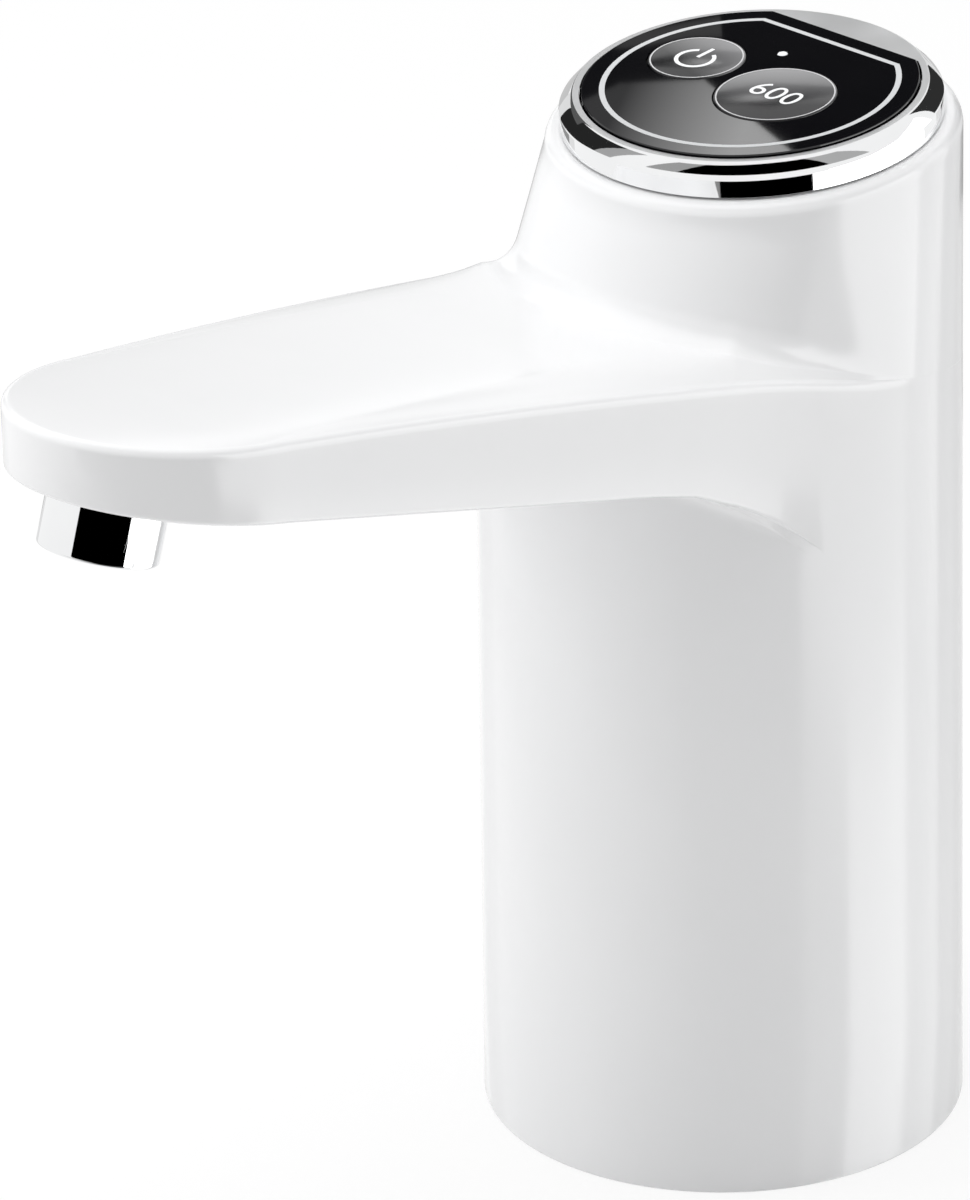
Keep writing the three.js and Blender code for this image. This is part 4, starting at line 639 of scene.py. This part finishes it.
# details cut into the housing
cover = dict(
    start=47, inset=3.4, thickness=1.8, screwReach=60, screwX=13, bossRadius=2.9, hole=1.2, sinkRadius=2.1,
    sinkDepth=1.2, sinkMouth=4.1)
port = dict(
    height=112.6, width=8.9, thickness=3.2, padWidth=16, padHeight=9, padDepth=2.8, flapWidth=14,
    flapHeight=7.2, flapThickness=0.8, plugWidth=6.4, plugHeight=1.8, plugDepth=1.5, hingeGap=1.2,
    notchRadius=1.4, notchOut=0.4, arcSteps=16, wallSteps=24)
boss = dict(
    low=38.1, height=14, radius=3.2, reach=28.22, angles=(35, 145, 220, 320), shank=1.2, holeDepth=8,
    ribReach=4.6, ribHalf=1)
nozzle = dict(
    lean=18, reach=116.8, radius=8.4, wall=2, length=9, edge=0.5, flange=1.3, flangeThickness=0.6,
    plateHeight=2.6, plateDrop=5.3, plateHole=1.1, holeReach=3.6, holes=6)
gap = top["gap"]
backSurface = bodyRadius(port["height"])
nozzleFrame = Matrix.Translation((0, -nozzle["reach"], underHeight(nozzle["reach"]))) @ Matrix.Rotation(
    -math.radians(nozzle["lean"]), 4, "X")


def coverOutline(inset):
    wide = [c for c in planColumns(outerColumns, inset) if not c["onBody"] and c["reach"] > cover["start"]]
    right = sorted((c for c in wide if c["x"] >= 0), key=lambda c: -c["reach"])
    edge = cover["start"] + inset - cover["inset"]
    half = [(c["x"], c["reach"]) for c in right]
    slope = (arm["halfAtAxis"] - arm["halfAtTip"]) / arm["reach"]
    half.append((half[-1][0] + (half[-1][1] - edge) * slope, edge))
    left = [(-x, reach) for x, reach in half[:0:-1]]
    return [(x, -reach) for x, reach in half + left]


def coverPlate(name, inset, low, high, material=None):
    outline = coverOutline(inset)
    rings = [[(x, y, underHeight(-y) + offset) for x, y in outline] for offset in (low, high)]
    return loft(name, rings, material, smoothAngle=30)


def coverScrewSeat(side):
    reach = cover["screwReach"]
    return Matrix.Translation((side * cover["screwX"], -reach, underHeight(reach) + gap))


def portOutline(width, height):
    half = (width - height) / 2
    points = []
    for side, start in ((1, -quarter), (-1, quarter)):
        for i in range(port["arcSteps"] + 1):
            turn = start + math.pi * i / port["arcSteps"]
            points.append((side * half + height / 2 * math.cos(turn), height / 2 * math.sin(turn)))
    return points


portFrame = Matrix.Translation((0, 0, port["height"])) @ Matrix.Rotation(quarter, 4, "X")


def portPrism(width, height, yLow, yHigh):
    return prism("cutter", portOutline(width, height), -yHigh, -yLow, None, portFrame)


def curvedSlab(name, inner, outer, xLow, xHigh, height, material=None):
    # a piece of a round wall at the back of the body
    across = [lerp(xLow, xHigh, i / port["wallSteps"]) for i in range(port["wallSteps"] + 1)]
    outline = [(x, math.sqrt(inner ** 2 - x ** 2)) for x in across]
    outline += [(x, math.sqrt(outer ** 2 - x ** 2)) for x in across[::-1]]
    return prism(name, outline, port["height"] - height / 2, port["height"] + height / 2, material)


def makeHousing():
    skin = skinRings(0, outerColumns, outerSteps)
    shell = loft("housingShell", skin, finish["white_shell"], smoothAngle=60)
    mouth = top["chamfer"] + top["band"] + top["rimLedge"]
    tools = [
        loft("cavity", skinRings(body["wall"], innerColumns, innerSteps)),
        disc(top["skirtRadius"] + gap, -mouth - overrun, 0, matrix=topFrame, sides=96),
        coverPlate("cutter", cover["inset"], -overrun, body["wall"] * 2)]
    shell = combine(shell, tools, "DIFFERENCE", smoothAngle=60)
    half = body["wall"] / 2
    pads, cuts = [], []
    for angle in boss["angles"]:
        x, y = around(boss["reach"], angle)
        low, high = boss["low"], boss["low"] + boss["height"]
        rib = Matrix.Translation((x, y, 0)) @ Matrix.Rotation(math.radians(angle), 4, "Z")
        pads.append(disc(boss["radius"], low, high, x, y, sides=32))
        pads.append(box((0, -boss["ribHalf"], low), (boss["ribReach"], boss["ribHalf"], high), rib))
        cuts.append(disc(boss["shank"] + gap, low - overrun, low + boss["holeDepth"], x, y, sides=24))
    for side in (1, -1):
        x, reach = side * cover["screwX"], cover["screwReach"]
        low = underHeight(reach) + cover["thickness"] + gap * 4
        pads.append(disc(cover["bossRadius"], low, topHeight(reach) - half, x, -reach, sides=32))
    inner = backSurface - body["wall"] - port["padDepth"]
    wide, tall = port["padWidth"] / 2, port["padHeight"] / 2
    pads.append(box(
        (-wide, inner, port["height"] - tall), (wide, backSurface - half, port["height"] + tall)))
    shell = combine(shell, pads, "UNION", smoothAngle=60)
    cuts.append(curvedSlab(
        "cutter", backSurface - port["flapThickness"] - gap, backSurface + overrun,
        -port["flapWidth"] / 2 - port["hingeGap"], port["flapWidth"] / 2 + gap, port["flapHeight"] + gap * 2))
    cuts.append(portPrism(
        port["width"] + gap * 2, port["thickness"] + gap * 2, inner - overrun, backSurface + overrun))
    shell = combine(shell, cuts, "DIFFERENCE", smoothAngle=60)
    standFor(shell, "housing")


makeHousing()
print("housing made")


def makeSpoutCover():
    low, high = gap / 2, gap / 2 + cover["thickness"]
    plate = coverPlate("spoutUnderCover", cover["inset"] + gap, low, high, finish["white_shell"])
    sink = [
        (0, -overrun), (cover["sinkMouth"], -overrun), (cover["sinkRadius"], 0),
        (cover["hole"], cover["sinkDepth"]), (cover["hole"], overrun), (0, overrun)]
    tools = [disc(nozzle["radius"] + gap, -overrun, overrun * 2, matrix=nozzleFrame, sides=96)]
    tools += [turned("cutter", sink, matrix=coverScrewSeat(side), sides=32) for side in (1, -1)]
    plate = combine(plate, tools, "DIFFERENCE")
    standFor(plate, "spout_under_cover")


def makeCoverScrews():
    screw = dict(head=1.8, rise=1.2, shank=0.9, length=7, slot=0.32, slotShare=0.7, slotDepth=0.7)
    profile = [
        (0, 0), (screw["head"], 0), (screw["shank"], screw["rise"]),
        (screw["shank"], screw["length"] - screw["shank"]), (0, screw["length"])]
    wide, narrow, deep = screw["head"] * screw["slotShare"], screw["slot"], screw["slotDepth"]
    for number, side in ((1, 1), (2, -1)):
        seat = coverScrewSeat(side)
        piece = turned(f"spoutCoverScrew{number}", profile, finish["steel"], seat, sides=48)
        arms = [
            box((-wide, -narrow, -overrun), (wide, narrow, deep), seat),
            box((-narrow, -wide, -overrun), (narrow, wide, deep), seat)]
        piece = combine(piece, arms, "DIFFERENCE")
        standFor(piece, f"spout_cover_screw_{number}")


def makeNozzle():
    outer, inner = nozzle["radius"], nozzle["radius"] - nozzle["wall"]
    low, edge = -nozzle["length"], nozzle["edge"]
    flangeLow = cover["thickness"] + gap * 3
    flangeHigh = flangeLow + nozzle["flangeThickness"]
    profile = [
        (inner, flangeHigh), *rounded((inner + edge, low + edge), edge, 180, 270),
        *rounded((outer - edge, low + edge), edge, 270, 360), (outer, flangeLow),
        (outer + nozzle["flange"], flangeLow), (outer + nozzle["flange"], flangeHigh)]
    sleeve = turned("nozzleSleeve", profile, finish["chrome"], nozzleFrame, sides=128, smoothAngle=50)
    standFor(sleeve, "nozzle_sleeve")
    high = -nozzle["plateDrop"]
    low = high - nozzle["plateHeight"]
    plate = disc(
        inner - gap, low, high, matrix=nozzleFrame, sides=96, name="flowStraightener",
        material=finish["dark_plastic"])
    count = nozzle["holes"]
    spots = [(0, 0)] + [around(nozzle["holeReach"], 360 * i / count) for i in range(count)]
    drills = [
        disc(nozzle["plateHole"], low - overrun, high + overrun, x, y, nozzleFrame, sides=32)
        for x, y in spots]
    plate = combine(plate, drills, "DIFFERENCE")
    standFor(plate, "flow_straightener")


makeSpoutCover()
makeCoverScrews()
makeNozzle()
print("spout parts made")


# the top: bezel, panel, keys and printing, in the tilted frame
panel = dict(
    radius=23.75, chord=19.4, thickness=1.6, proud=0.35, edge=0.15, edgeBulge=0.3, ledge=1.9,
    ledgeThickness=1.5, bezelEdge=0.12, keyGap=0.2, lightGap=0.1)
mark = dict(outer=21.2, inner=20.4, raised=0.02, sunk=0.1, keyLine=0.2, keyInset=0.28)
# each key's turn gives the direction of the painted sheen across its face
keys = dict(
    power=dict(radius=6.95, x=-11.5, y=1.25, body="power_key", sheenTurn=70),
    amount=dict(radius=8.7, x=5.7, y=-0.95, body="amount_key", sheenTurn=125))
# dark and light are the two ends of the painted sheen on the key faces
keySizes = dict(
    proud=0.1, edge=0.25, flange=0.5, flangeThickness=0.85, stem=2.2, stemBottom=-6.05,
    dark=(0.003, 0.003, 0.004), light=(0.24, 0.24, 0.245))
statusLight = dict(
    radius=0.75, stem=0.9, stemLength=5.2, flange=1.8, flangeThickness=1, edge=0.1, x=-2.8, y=9.65)


def dOutline(radius, chord, sides=96):
    # a circle with its far side cut off straight
    half = math.degrees(math.acos(chord / radius))
    return [around(radius, lerp(90 + half, 450 - half, i / sides)) for i in range(sides + 1)]


def raisedLine(outer, inner, low, high, closed=False):
    # points and faces of a printed line between two paths
    rows = ((outer, low), (outer, high), (inner, high), (inner, low), (outer, low))
    rings = [[(x, y, z) for x, y in path] for path, z in rows]
    count = len(outer)
    total = count * 4
    faces = [tuple(i % total for i in face) for face in ringFaces(rings, closed)]
    if not closed:
        faces += [tuple(range(0, total, count)), tuple(range(total - 1, 0, -count))]
    return [p for ring in rings[:4] for p in ring], faces


def makeBezel():
    foot, soft = -(top["chamfer"] + top["band"]), panel["bezelEdge"]
    ledgeTop = panel["proud"] - panel["thickness"] - gap
    ledgeLow = ledgeTop - panel["ledgeThickness"]
    skirt, band, low = top["skirtRadius"], top["bandRadius"], foot - top["skirtDepth"]
    profile = [
        (0, ledgeLow), (skirt - top["skirtWall"], ledgeLow), (skirt - top["skirtWall"], low), (skirt, low),
        (skirt, foot), (band - soft, foot), (band, foot + soft), (band, -top["chamfer"] - soft),
        (band - soft, -top["chamfer"] + soft), (top["faceRadius"] + soft, -soft),
        (top["faceRadius"] - soft, 0), (0, 0)]
    ring = turned("bezelRing", profile, finish["chrome"], topFrame, sides=160, smoothAngle=20)
    recess = dOutline(panel["radius"] + gap, panel["chord"] + gap)
    opening = dOutline(panel["radius"] - panel["ledge"], panel["chord"] - panel["ledge"])
    tools = [
        prism("cutter", recess, ledgeTop, overrun, None, topFrame),
        prism("cutter", opening, ledgeLow - overrun, overrun, None, topFrame)]
    ring = combine(ring, tools, "DIFFERENCE", smoothAngle=20)
    ring.data.materials.clear()
    ring.data.materials.append(finish["chrome"])
    ring.data.materials.append(satinFace)  # for the flat top
    origin = toMetres @ topFrame.translation
    near, facingUp = 0.03 * mm, 0.99
    for face in ring.data.polygons:
        level = abs((face.center - origin).dot(topNormal)) < near
        face.material_index = 1 if level and face.normal.dot(topNormal) > facingUp else 0
    standFor(ring, "bezel")


def makePanel():
    low, high, edge = panel["proud"] - panel["thickness"], panel["proud"], panel["edge"]
    bulge = edge * panel["edgeBulge"]  # rounds the upper edge
    rings = []
    for inset, height in ((0, low), (0, high - edge), (bulge, high - bulge), (edge, high)):
        outline = dOutline(panel["radius"] - inset, panel["chord"] - inset)
        rings.append([(x, y, height) for x, y in outline])
    plate = loft("controlPanel", rings, finish["panel_gloss"], topFrame, smoothAngle=20)
    below = low - overrun
    tools = [
        disc(key["radius"] + panel["keyGap"], below, overrun, key["x"], key["y"], topFrame, sides=96)
        for key in keys.values()]
    tools.append(disc(
        statusLight["radius"] + panel["lightGap"], below, overrun, statusLight["x"], statusLight["y"],
        topFrame, sides=32))
    plate = combine(plate, tools, "DIFFERENCE", smoothAngle=20)
    standFor(plate, "control_panel")
    outer, inner = (
        dOutline(mark[side], panel["chord"] - panel["radius"] + mark[side]) for side in ("outer", "inner"))
    points, faces = raisedLine(outer, inner, high - mark["sunk"], high + mark["raised"], True)
    ring = meshObject("panelOutline", points, faces, printGrey, topFrame, smoothAngle=20)
    rideAs(ring)


def makeKey(name):
    key = keys[name]
    seat = topFrame @ Matrix.Translation((key["x"], key["y"], 0))
    high, edge = panel["proud"] + keySizes["proud"], keySizes["edge"]
    flangeTop = panel["proud"] - panel["thickness"] - gap
    flangeLow = flangeTop - keySizes["flangeThickness"]
    wide, stem, bottom = key["radius"] + keySizes["flange"], keySizes["stem"], keySizes["stemBottom"]
    profile = [
        (0, bottom), (stem, bottom), (stem, flangeLow), (wide, flangeLow), (wide, flangeTop),
        (key["radius"], flangeTop), *rounded((key["radius"] - edge, high - edge), edge, 0, 90), (0, high)]
    # the painted sheen on the key's face starts on this side and runs across it
    start = toMetres @ seat @ Vector((*around(key["radius"], key["sheenTurn"] + 180), 0))
    face = paintedSheenFace(
        name + "KeyPaintedSheen", keySizes["dark"], keySizes["light"], start, key["radius"] * 2 * mm,
        math.radians(key["sheenTurn"]))
    cap = turned(name + "Button", profile, face, seat, sides=96, smoothAngle=25)
    standFor(cap, name + "_button", key["body"])
    outer = key["radius"] - mark["keyInset"]
    inner, low, raised = outer - mark["keyLine"], high - mark["sunk"], high + mark["raised"]
    profile = [(inner, low), (outer, low), (outer, raised), (inner, raised)]
    line = turned(name + "KeyLine", profile, outlineGrey, seat, sides=96, smoothAngle=25)
    rideAs(line, key["body"])
    return high


def makePowerSymbol(high):
    symbol = dict(radius=2.7, line=0.6, opening=62, barTop=3.8, barLow=0.5, drop=0.3, steps=48)
    key = keys["power"]
    seat = topFrame @ Matrix.Translation((key["x"], key["y"] - symbol["drop"], high - mark["sunk"]))
    raised, half, steps = mark["sunk"] + mark["raised"], symbol["line"] / 2, symbol["steps"]
    start, end = 90 + symbol["opening"] / 2, 450 - symbol["opening"] / 2
    outer, inner = (
        [around(symbol["radius"] + side, lerp(start, end, i / steps)) for i in range(steps + 1)]
        for side in (half, -half))
    points, faces = raisedLine(outer, inner, 0, raised)
    right, left = ([(x, symbol["barLow"]), (x, symbol["barTop"])] for x in (half, -half))
    barPoints, barFaces = raisedLine(right, left, 0, raised)
    faces += [tuple(len(points) + i for i in face) for face in barFaces]
    piece = meshObject("powerSymbol", points + barPoints, faces, printWhite, seat, smoothAngle=20)
    rideAs(piece, key["body"])


def makeAmountDigits(high):
    digits = dict(text="600", height=5.7, curveSteps=6)
    key = keys["amount"]
    curve = bpy.data.curves.new("amountDigits", "FONT")
    curve.body = digits["text"]
    curve.size = digits["height"]
    curve.align_x = "CENTER"
    curve.align_y = "CENTER"
    curve.extrude = (mark["sunk"] + mark["raised"]) / 2
    curve.resolution_u = digits["curveSteps"]
    text = newObject("amountText", curve)
    graph = bpy.context.evaluated_depsgraph_get()
    mesh = bpy.data.meshes.new_from_object(text.evaluated_get(graph))
    height = high + (mark["raised"] - mark["sunk"]) / 2
    mesh.transform(toMetres @ topFrame @ Matrix.Translation((key["x"], key["y"], height)))
    bpy.data.objects.remove(text)
    piece = newObject("amountDigits", mesh)
    mesh.materials.clear()
    mesh.materials.append(printWhite)
    rideAs(piece, key["body"])


def makeStatusLight():
    high, low = panel["proud"], panel["proud"] - panel["thickness"] - gap
    radius, stem, flange, edge = (statusLight[k] for k in ("radius", "stem", "flange", "edge"))
    step, bottom = low - statusLight["flangeThickness"], low - statusLight["stemLength"]
    seat = topFrame @ Matrix.Translation((statusLight["x"], statusLight["y"], 0))
    profile = [
        (0, bottom), (stem, bottom), (stem, step), (flange, step), (flange, low), (radius, low),
        (radius, high - edge), (radius - edge, high), (0, high)]
    dot = turned("statusLight", profile, finish["light"], seat, sides=32, smoothAngle=30)
    standFor(dot, "light_pipe")


makeBezel()
makePanel()
powerTop = makeKey("power")
amountTop = makeKey("amount")
makePowerSymbol(powerTop)
makeAmountDigits(amountTop)
makeStatusLight()
print("top made")


# the socket for the bottle neck, and the charging flap
socket = dict(
    bore=28, foot=1, top=31.7, ribProud=0.6, ribShoulder=0.7, ribHeight=2.4, ribs=3, lead=2, groove=1.4,
    sealLow=32, sealHigh=34, sealInner=22.44, sealOuter=31.94, landBottom=31.2, landRadius=27.7, sealEdge=0.3)


def makeCollar():
    outer = bodyRadius(socket["top"]) - body["wall"] - gap
    foot, high, bore = socket["foot"], socket["top"], socket["bore"]
    span = (high - foot) / (socket["ribs"] + 1)
    waist, shoulder = outer - socket["groove"], bore - socket["ribProud"] * socket["ribShoulder"]
    tall = socket["ribHeight"]
    profile = [
        (bore + socket["lead"], foot), (outer, foot), (outer, foot + span / 2), (waist, foot + span),
        (waist, high - span), (outer, high - span / 2), (outer, high), (bore, high)]
    for i in range(socket["ribs"], 0, -1):
        middle = foot + span * i
        profile += [
            (bore, middle + tall / 2), (shoulder, middle + tall / 4), (bore - socket["ribProud"], middle),
            (shoulder, middle - tall / 4), (bore, middle - tall / 2)]
    profile.append((bore, foot + socket["lead"]))
    collar = turned("bottleCollar", profile, finish["white_silicone"], sides=128, smoothAngle=40)
    standFor(collar, "bottle_collar")


def makeSeal():
    soft, low, high = socket["sealEdge"], socket["sealLow"], socket["sealHigh"]
    inner, outer = socket["sealInner"], socket["sealOuter"]
    land, foot = socket["landRadius"], socket["landBottom"]
    profile = [
        (inner + soft, foot), (land - soft, foot), (land, foot + soft), (land, low), (outer - soft, low),
        (outer, low + soft), (outer, high - soft), (outer - soft, high), (inner + soft, high),
        (inner, high - soft), (inner, foot + soft)]
    seal = turned("neckSeal", profile, finish["white_silicone"], sides=128, smoothAngle=40)
    standFor(seal, "neck_seal")


def makeFlap():
    inner, half = backSurface - port["flapThickness"], port["flapWidth"] / 2
    flap = curvedSlab(
        "portFlap", inner, backSurface, -half, half, port["flapHeight"], finish["white_silicone"])
    plug = portPrism(
        port["plugWidth"], port["plugHeight"], inner - port["plugDepth"], inner + port["flapThickness"] / 2)
    flap = combine(flap, [plug], "UNION")
    # a nail notch at the free edge
    seat = Matrix.Translation((half + port["notchOut"], backSurface, port["height"]))
    notch = disc(port["notchRadius"], -port["notchRadius"], port["notchRadius"], matrix=seat, sides=32)
    flap = combine(flap, [notch], "DIFFERENCE")
    standFor(flap, "port_flap", "flap")


makeCollar()
makeSeal()
makeFlap()
print("socket and flap made")


# the other CAD nodes keep their shape and get their finish
for row in frame["record"]["subparts"]:
    node = frame["nodes"][row["node"]]
    if not node.hide_render:
        if not node.material_slots:
            node.data.materials.append(finish[row["material_slot"]])
        for place in node.material_slots:
            place.material = finish[row["material_slot"]]
print("CAD nodes finished")


# studio: a pale floor in a soft room, with cards that only glossy surfaces mirror
studio = dict(floor=0.9, floorGlow=0.82, room=0.62, size=6, cardDistance=0.75, fadeEnd=0.1)
studioMiddle = Vector((0, 0, 0.08))


def bareMaterial(name):
    # a material without a surface, which its maker adds
    material = bpy.data.materials.new(name)
    material.use_nodes = True
    tree = material.node_tree
    tree.nodes.remove(tree.nodes["Principled BSDF"])
    return material, tree


def largest(tree, first, second):
    either = addNode(tree, "Math")
    either.operation = "MAXIMUM"
    tree.links.new(first, either.inputs[0])
    tree.links.new(second, either.inputs[1])
    return either.outputs["Value"]


def mixTo(tree, share, first, second, target):
    mixed = addNode(tree, "MixShader")
    for source, socket in zip((share, first, second), mixed.inputs):
        tree.links.new(source, socket)
    tree.links.new(mixed.outputs["Shader"], target)


def addFloor():
    size, shade = studio["size"], studio["floor"]
    mesh = bpy.data.meshes.new("studioFloor")
    corners = [(-size, -size, 0), (size, -size, 0), (size, size, 0), (-size, size, 0)]
    mesh.from_pydata(corners, [], [(0, 1, 2, 3)])
    floor = newObject("studioFloor", mesh)
    material, tree = bareMaterial("paleFloor")
    matt = addNode(tree, "BsdfDiffuse", {"Color": (shade, shade, shade, 1)})
    glow = addNode(tree, "Emission")
    path = addNode(tree, "LightPath")
    share = addNode(tree, "Math", {1: studio["floorGlow"]})
    share.operation = "MULTIPLY"
    seen = largest(tree, path.outputs["Is Camera Ray"], path.outputs["Is Transmission Ray"])
    tree.links.new(seen, share.inputs[0])
    surface = tree.nodes["Material Output"].inputs["Surface"]
    mixTo(tree, share.outputs["Value"], matt.outputs["BSDF"], glow.outputs["Emission"], surface)
    mesh.materials.append(material)
    floor.visible_glossy = False  # mirrored surfaces show the white room instead


def addRoom():
    world = bpy.data.worlds.new("softRoom")
    bpy.context.scene.world = world
    world.use_nodes = True
    tree = world.node_tree
    room = tree.nodes["Background"]
    room.inputs["Color"].default_value = (1, 1, 1, 1)
    room.inputs["Strength"].default_value = studio["room"]
    white = addNode(tree, "Background", {"Color": (1, 1, 1, 1), "Strength": 1})
    path = addNode(tree, "LightPath")
    seen = largest(tree, path.outputs["Is Camera Ray"], path.outputs["Is Glossy Ray"])
    seen = largest(tree, seen, path.outputs["Is Transmission Ray"])
    surface = tree.nodes["World Output"].inputs["Surface"]
    mixTo(tree, seen, room.outputs["Background"], white.outputs["Background"], surface)


lamps = dict(
    overhead=dict(place=Vector((-0.1, -0.05, 1.1)), aim=Vector((0, 0, 0.1)), size=(0.9, 0.9), power=6.0),
    left=dict(
        place=studioMiddle + fromCamera(-97, 28) * 1.1, aim=studioMiddle, size=(0.5, 0.8), power=4.0),
    right=dict(
        place=studioMiddle + fromCamera(105, 12) * 1.1, aim=studioMiddle, size=(0.5, 0.8), power=0.9))


def softLamp(name, lamp):
    data = bpy.data.lights.new(name, "AREA")
    data.shape = "RECTANGLE"
    data.size, data.size_y = lamp["size"]
    data.energy = lamp["power"]
    thing = newObject(name, data)
    thing.location = lamp["place"]
    thing.rotation_euler = (lamp["place"] - lamp["aim"]).to_track_quat("Z", "Y").to_euler()
    thing.visible_glossy = False


def card(name, corners, shade, fade=None, faces=None):
    mesh = bpy.data.meshes.new(name)
    mesh.from_pydata([tuple(c) for c in corners], [], faces or [tuple(range(len(corners)))])
    thing = newObject(name, mesh)
    material, tree = bareMaterial(name)
    glow = addNode(tree, "Emission", {"Color": (1, 1, 1, 1), "Strength": shade})
    if fade:
        # bright at the first point, dark at the second
        reach, dark = fade[1] - fade[0], (studio["fadeEnd"],) * 3
        slope = objectGradient(tree, fade[0], reach.to_track_quat("X", "Z").to_euler(), reach.length)
        shadeTo(tree, slope, glow.inputs["Color"], (1, 1, 1), dark, start=0, end=1)
    tree.links.new(glow.outputs["Emission"], tree.nodes["Material Output"].inputs["Surface"])
    mesh.materials.append(material)
    material.cycles.emission_sampling = "NONE"
    thing.visible_camera = False
    thing.visible_diffuse = False
    thing.visible_shadow = False
    thing.visible_transmission = False


def standingCard(name, row):
    # an upright card between two angles round from the camera
    distance = row.get("distance", studio["cardDistance"])
    (start, end), (low, high) = row["turns"], row["heights"]

    def placeAt(turn, height=0):
        return studioMiddle + fromCamera(turn, 0) * distance + Vector((0, 0, height))

    corners = [placeAt(start, low), placeAt(end, low), placeAt(end, high), placeAt(start, high)]
    card(name, corners, row["shade"], [placeAt(turn) for turn in row["fade"]] if "fade" in row else None)


cards = dict(
    front=dict(turns=(-10, 40), heights=(-1.4, -0.22), shade=0.1),
    frontLeft=dict(turns=(-75, -10), heights=(-1.4, -0.22), shade=1.0, fade=(-75, -10)),
    bandFront=dict(turns=(-25, 39), heights=(-0.37, -0.2), distance=0.73, shade=0.0),
    nozzleFront=dict(turns=(-49, 37), heights=(-0.2, 0.12), distance=0.73, shade=0.0),
    rightLow=dict(turns=(63, 97), heights=(-1.4, -0.305), shade=3.7),
    rightLowFar=dict(turns=(97, 122), heights=(-1.4, -0.305), shade=1.9),
    rightArm=dict(turns=(38, 97), heights=(-0.305, -0.17), distance=0.74, shade=2.9),
    rightArmFar=dict(turns=(97, 122), heights=(-0.305, -0.17), distance=0.74, shade=2.2),
    rightHigh=dict(turns=(46, 97), heights=(-0.17, 0.5), shade=4.5),
    rightHighFar=dict(turns=(97, 122), heights=(-0.17, 0.5), shade=2.4),
    backRight=dict(turns=(140, 160), heights=(-0.6, 0.35), shade=0.8),
    backLeft=dict(turns=(-160, -140), heights=(-0.6, 0.35), shade=0.8),
    behind=dict(turns=(160, 200), heights=(-0.28, 0.1), shade=0.6))
panelCards = dict(
    distance=0.25, nearer=0.98, dark=[(-34, -33), (34, -33), (34, 33), (-34, 33)],
    wedge=[(-5.6, -3.6), (22.1, -14.0), (11.5, -26.3), (-3.7, -30.4), (-14.4, -22.4), (-14.1, -11.6)],
    wedgeShade=2.8, fadeFrom=(8.9, -9.9), fadeTo=(-8.3, -18.6),
    haze=[(-22.9, -4.1), (-23.9, 2.7), (-18.2, 13.2), (-13.1, 8.2), (-16.8, 5.4), (-19.5, 0.1)],
    hazeShade=0.3)
armCard = dict(
    distance=0.35, shade=1.0, corners=[(-90, -60), (-90, 220), (60, 220), (60, -60)],
    fadeFrom=(4, 25), fadeTo=(-58, 98))
# dark strips for the chrome rim, as turns round from the camera and the rise of the surface there
rimCards = dict(
    left=dict(turns=(-84, -52), rise=45.7, spread=14, shade=0.02),
    leftSoft=dict(turns=(-52, -44), rise=45.7, spread=14, shade=0.4),
    frontSoft=dict(turns=(-31, -21), rise=45.7, spread=12, shade=0.35),
    front=dict(turns=(-21, 19), rise=45.7, spread=12, shade=0.0),
    rightSoft=dict(turns=(19, 32), rise=45.7, spread=12, shade=0.45),
    right=dict(turns=(66, 96), rise=45.7, spread=14, shade=0.03),
    leftBand=dict(turns=(-88, -72), rise=0, spread=3, shade=0.3),
    rightBand=dict(turns=(76, 90), rise=0, spread=3, shade=0.1))


def mirroredFrom(point, normal, distance):
    # where a point of a surface is mirrored to, as the camera sees it
    view = (cameraPlace - point).normalized()
    return point + (normal * 2 * normal.dot(view) - view) * distance


def overPanel(x, y, distance):
    return mirroredFrom(toMetres @ topFrame @ Vector((x, y, 0)), topNormal, distance)


def overArm(x, reach, distance):
    slope = (topHeight(reach + 1) - topHeight(reach - 1)) / 2
    point = toMetres @ Vector((x, -reach, topHeight(reach)))
    return mirroredFrom(point, Vector((0, slope, 1)).normalized(), distance)


def rimStrip(name, row, distance=0.4, steps=12):
    radius = (top["faceRadius"] + top["bandRadius"]) / 2
    middle = Vector((0, 0, -top["chamfer"] / 2))
    corners = []
    for i in range(steps + 1):
        turn = lerp(*row["turns"], i / steps)
        point = toMetres @ topFrame @ (fromCamera(turn, 0) * radius + middle)
        normal = (topFrame.to_3x3() @ fromCamera(turn, row["rise"])).normalized()
        place = mirroredFrom(point, normal, distance)
        along = (place - point).normalized()
        side = along.cross(Vector((0, 0, 1))).normalized()
        lift = side.cross(along) * distance * math.tan(math.radians(row["spread"]))
        corners += [place - lift, place + lift]
    faces = [(2 * i, 2 * i + 2, 2 * i + 3, 2 * i + 1) for i in range(steps)]
    card(name, corners, row["shade"], None, faces)


def addCards():
    for name, row in cards.items():
        standingCard(name + "Card", row)
    far = panelCards["distance"]
    near = far * panelCards["nearer"]
    dark, wedge, haze = (
        [overPanel(x, y, distance) for x, y in panelCards[key]]
        for key, distance in (("dark", far), ("wedge", near), ("haze", near)))
    fade = [overPanel(*panelCards[key], near) for key in ("fadeFrom", "fadeTo")]
    card("panelDarkCard", dark, 0.0)
    card("panelWedgeCard", wedge, panelCards["wedgeShade"], fade)
    card("panelHazeCard", haze, panelCards["hazeShade"])
    far = armCard["distance"]
    fade = [overArm(*armCard[key], far) for key in ("fadeFrom", "fadeTo")]
    card("armCard", [overArm(x, reach, far) for x, reach in armCard["corners"]], armCard["shade"], fade)
    for name, row in rimCards.items():
        rimStrip(name + "RimCard", row)


addFloor()
addRoom()
for name, lamp in lamps.items():
    softLamp(name + "Lamp", lamp)
addCards()
bpy.context.scene.view_settings.view_transform = "Standard"
print("studio made")
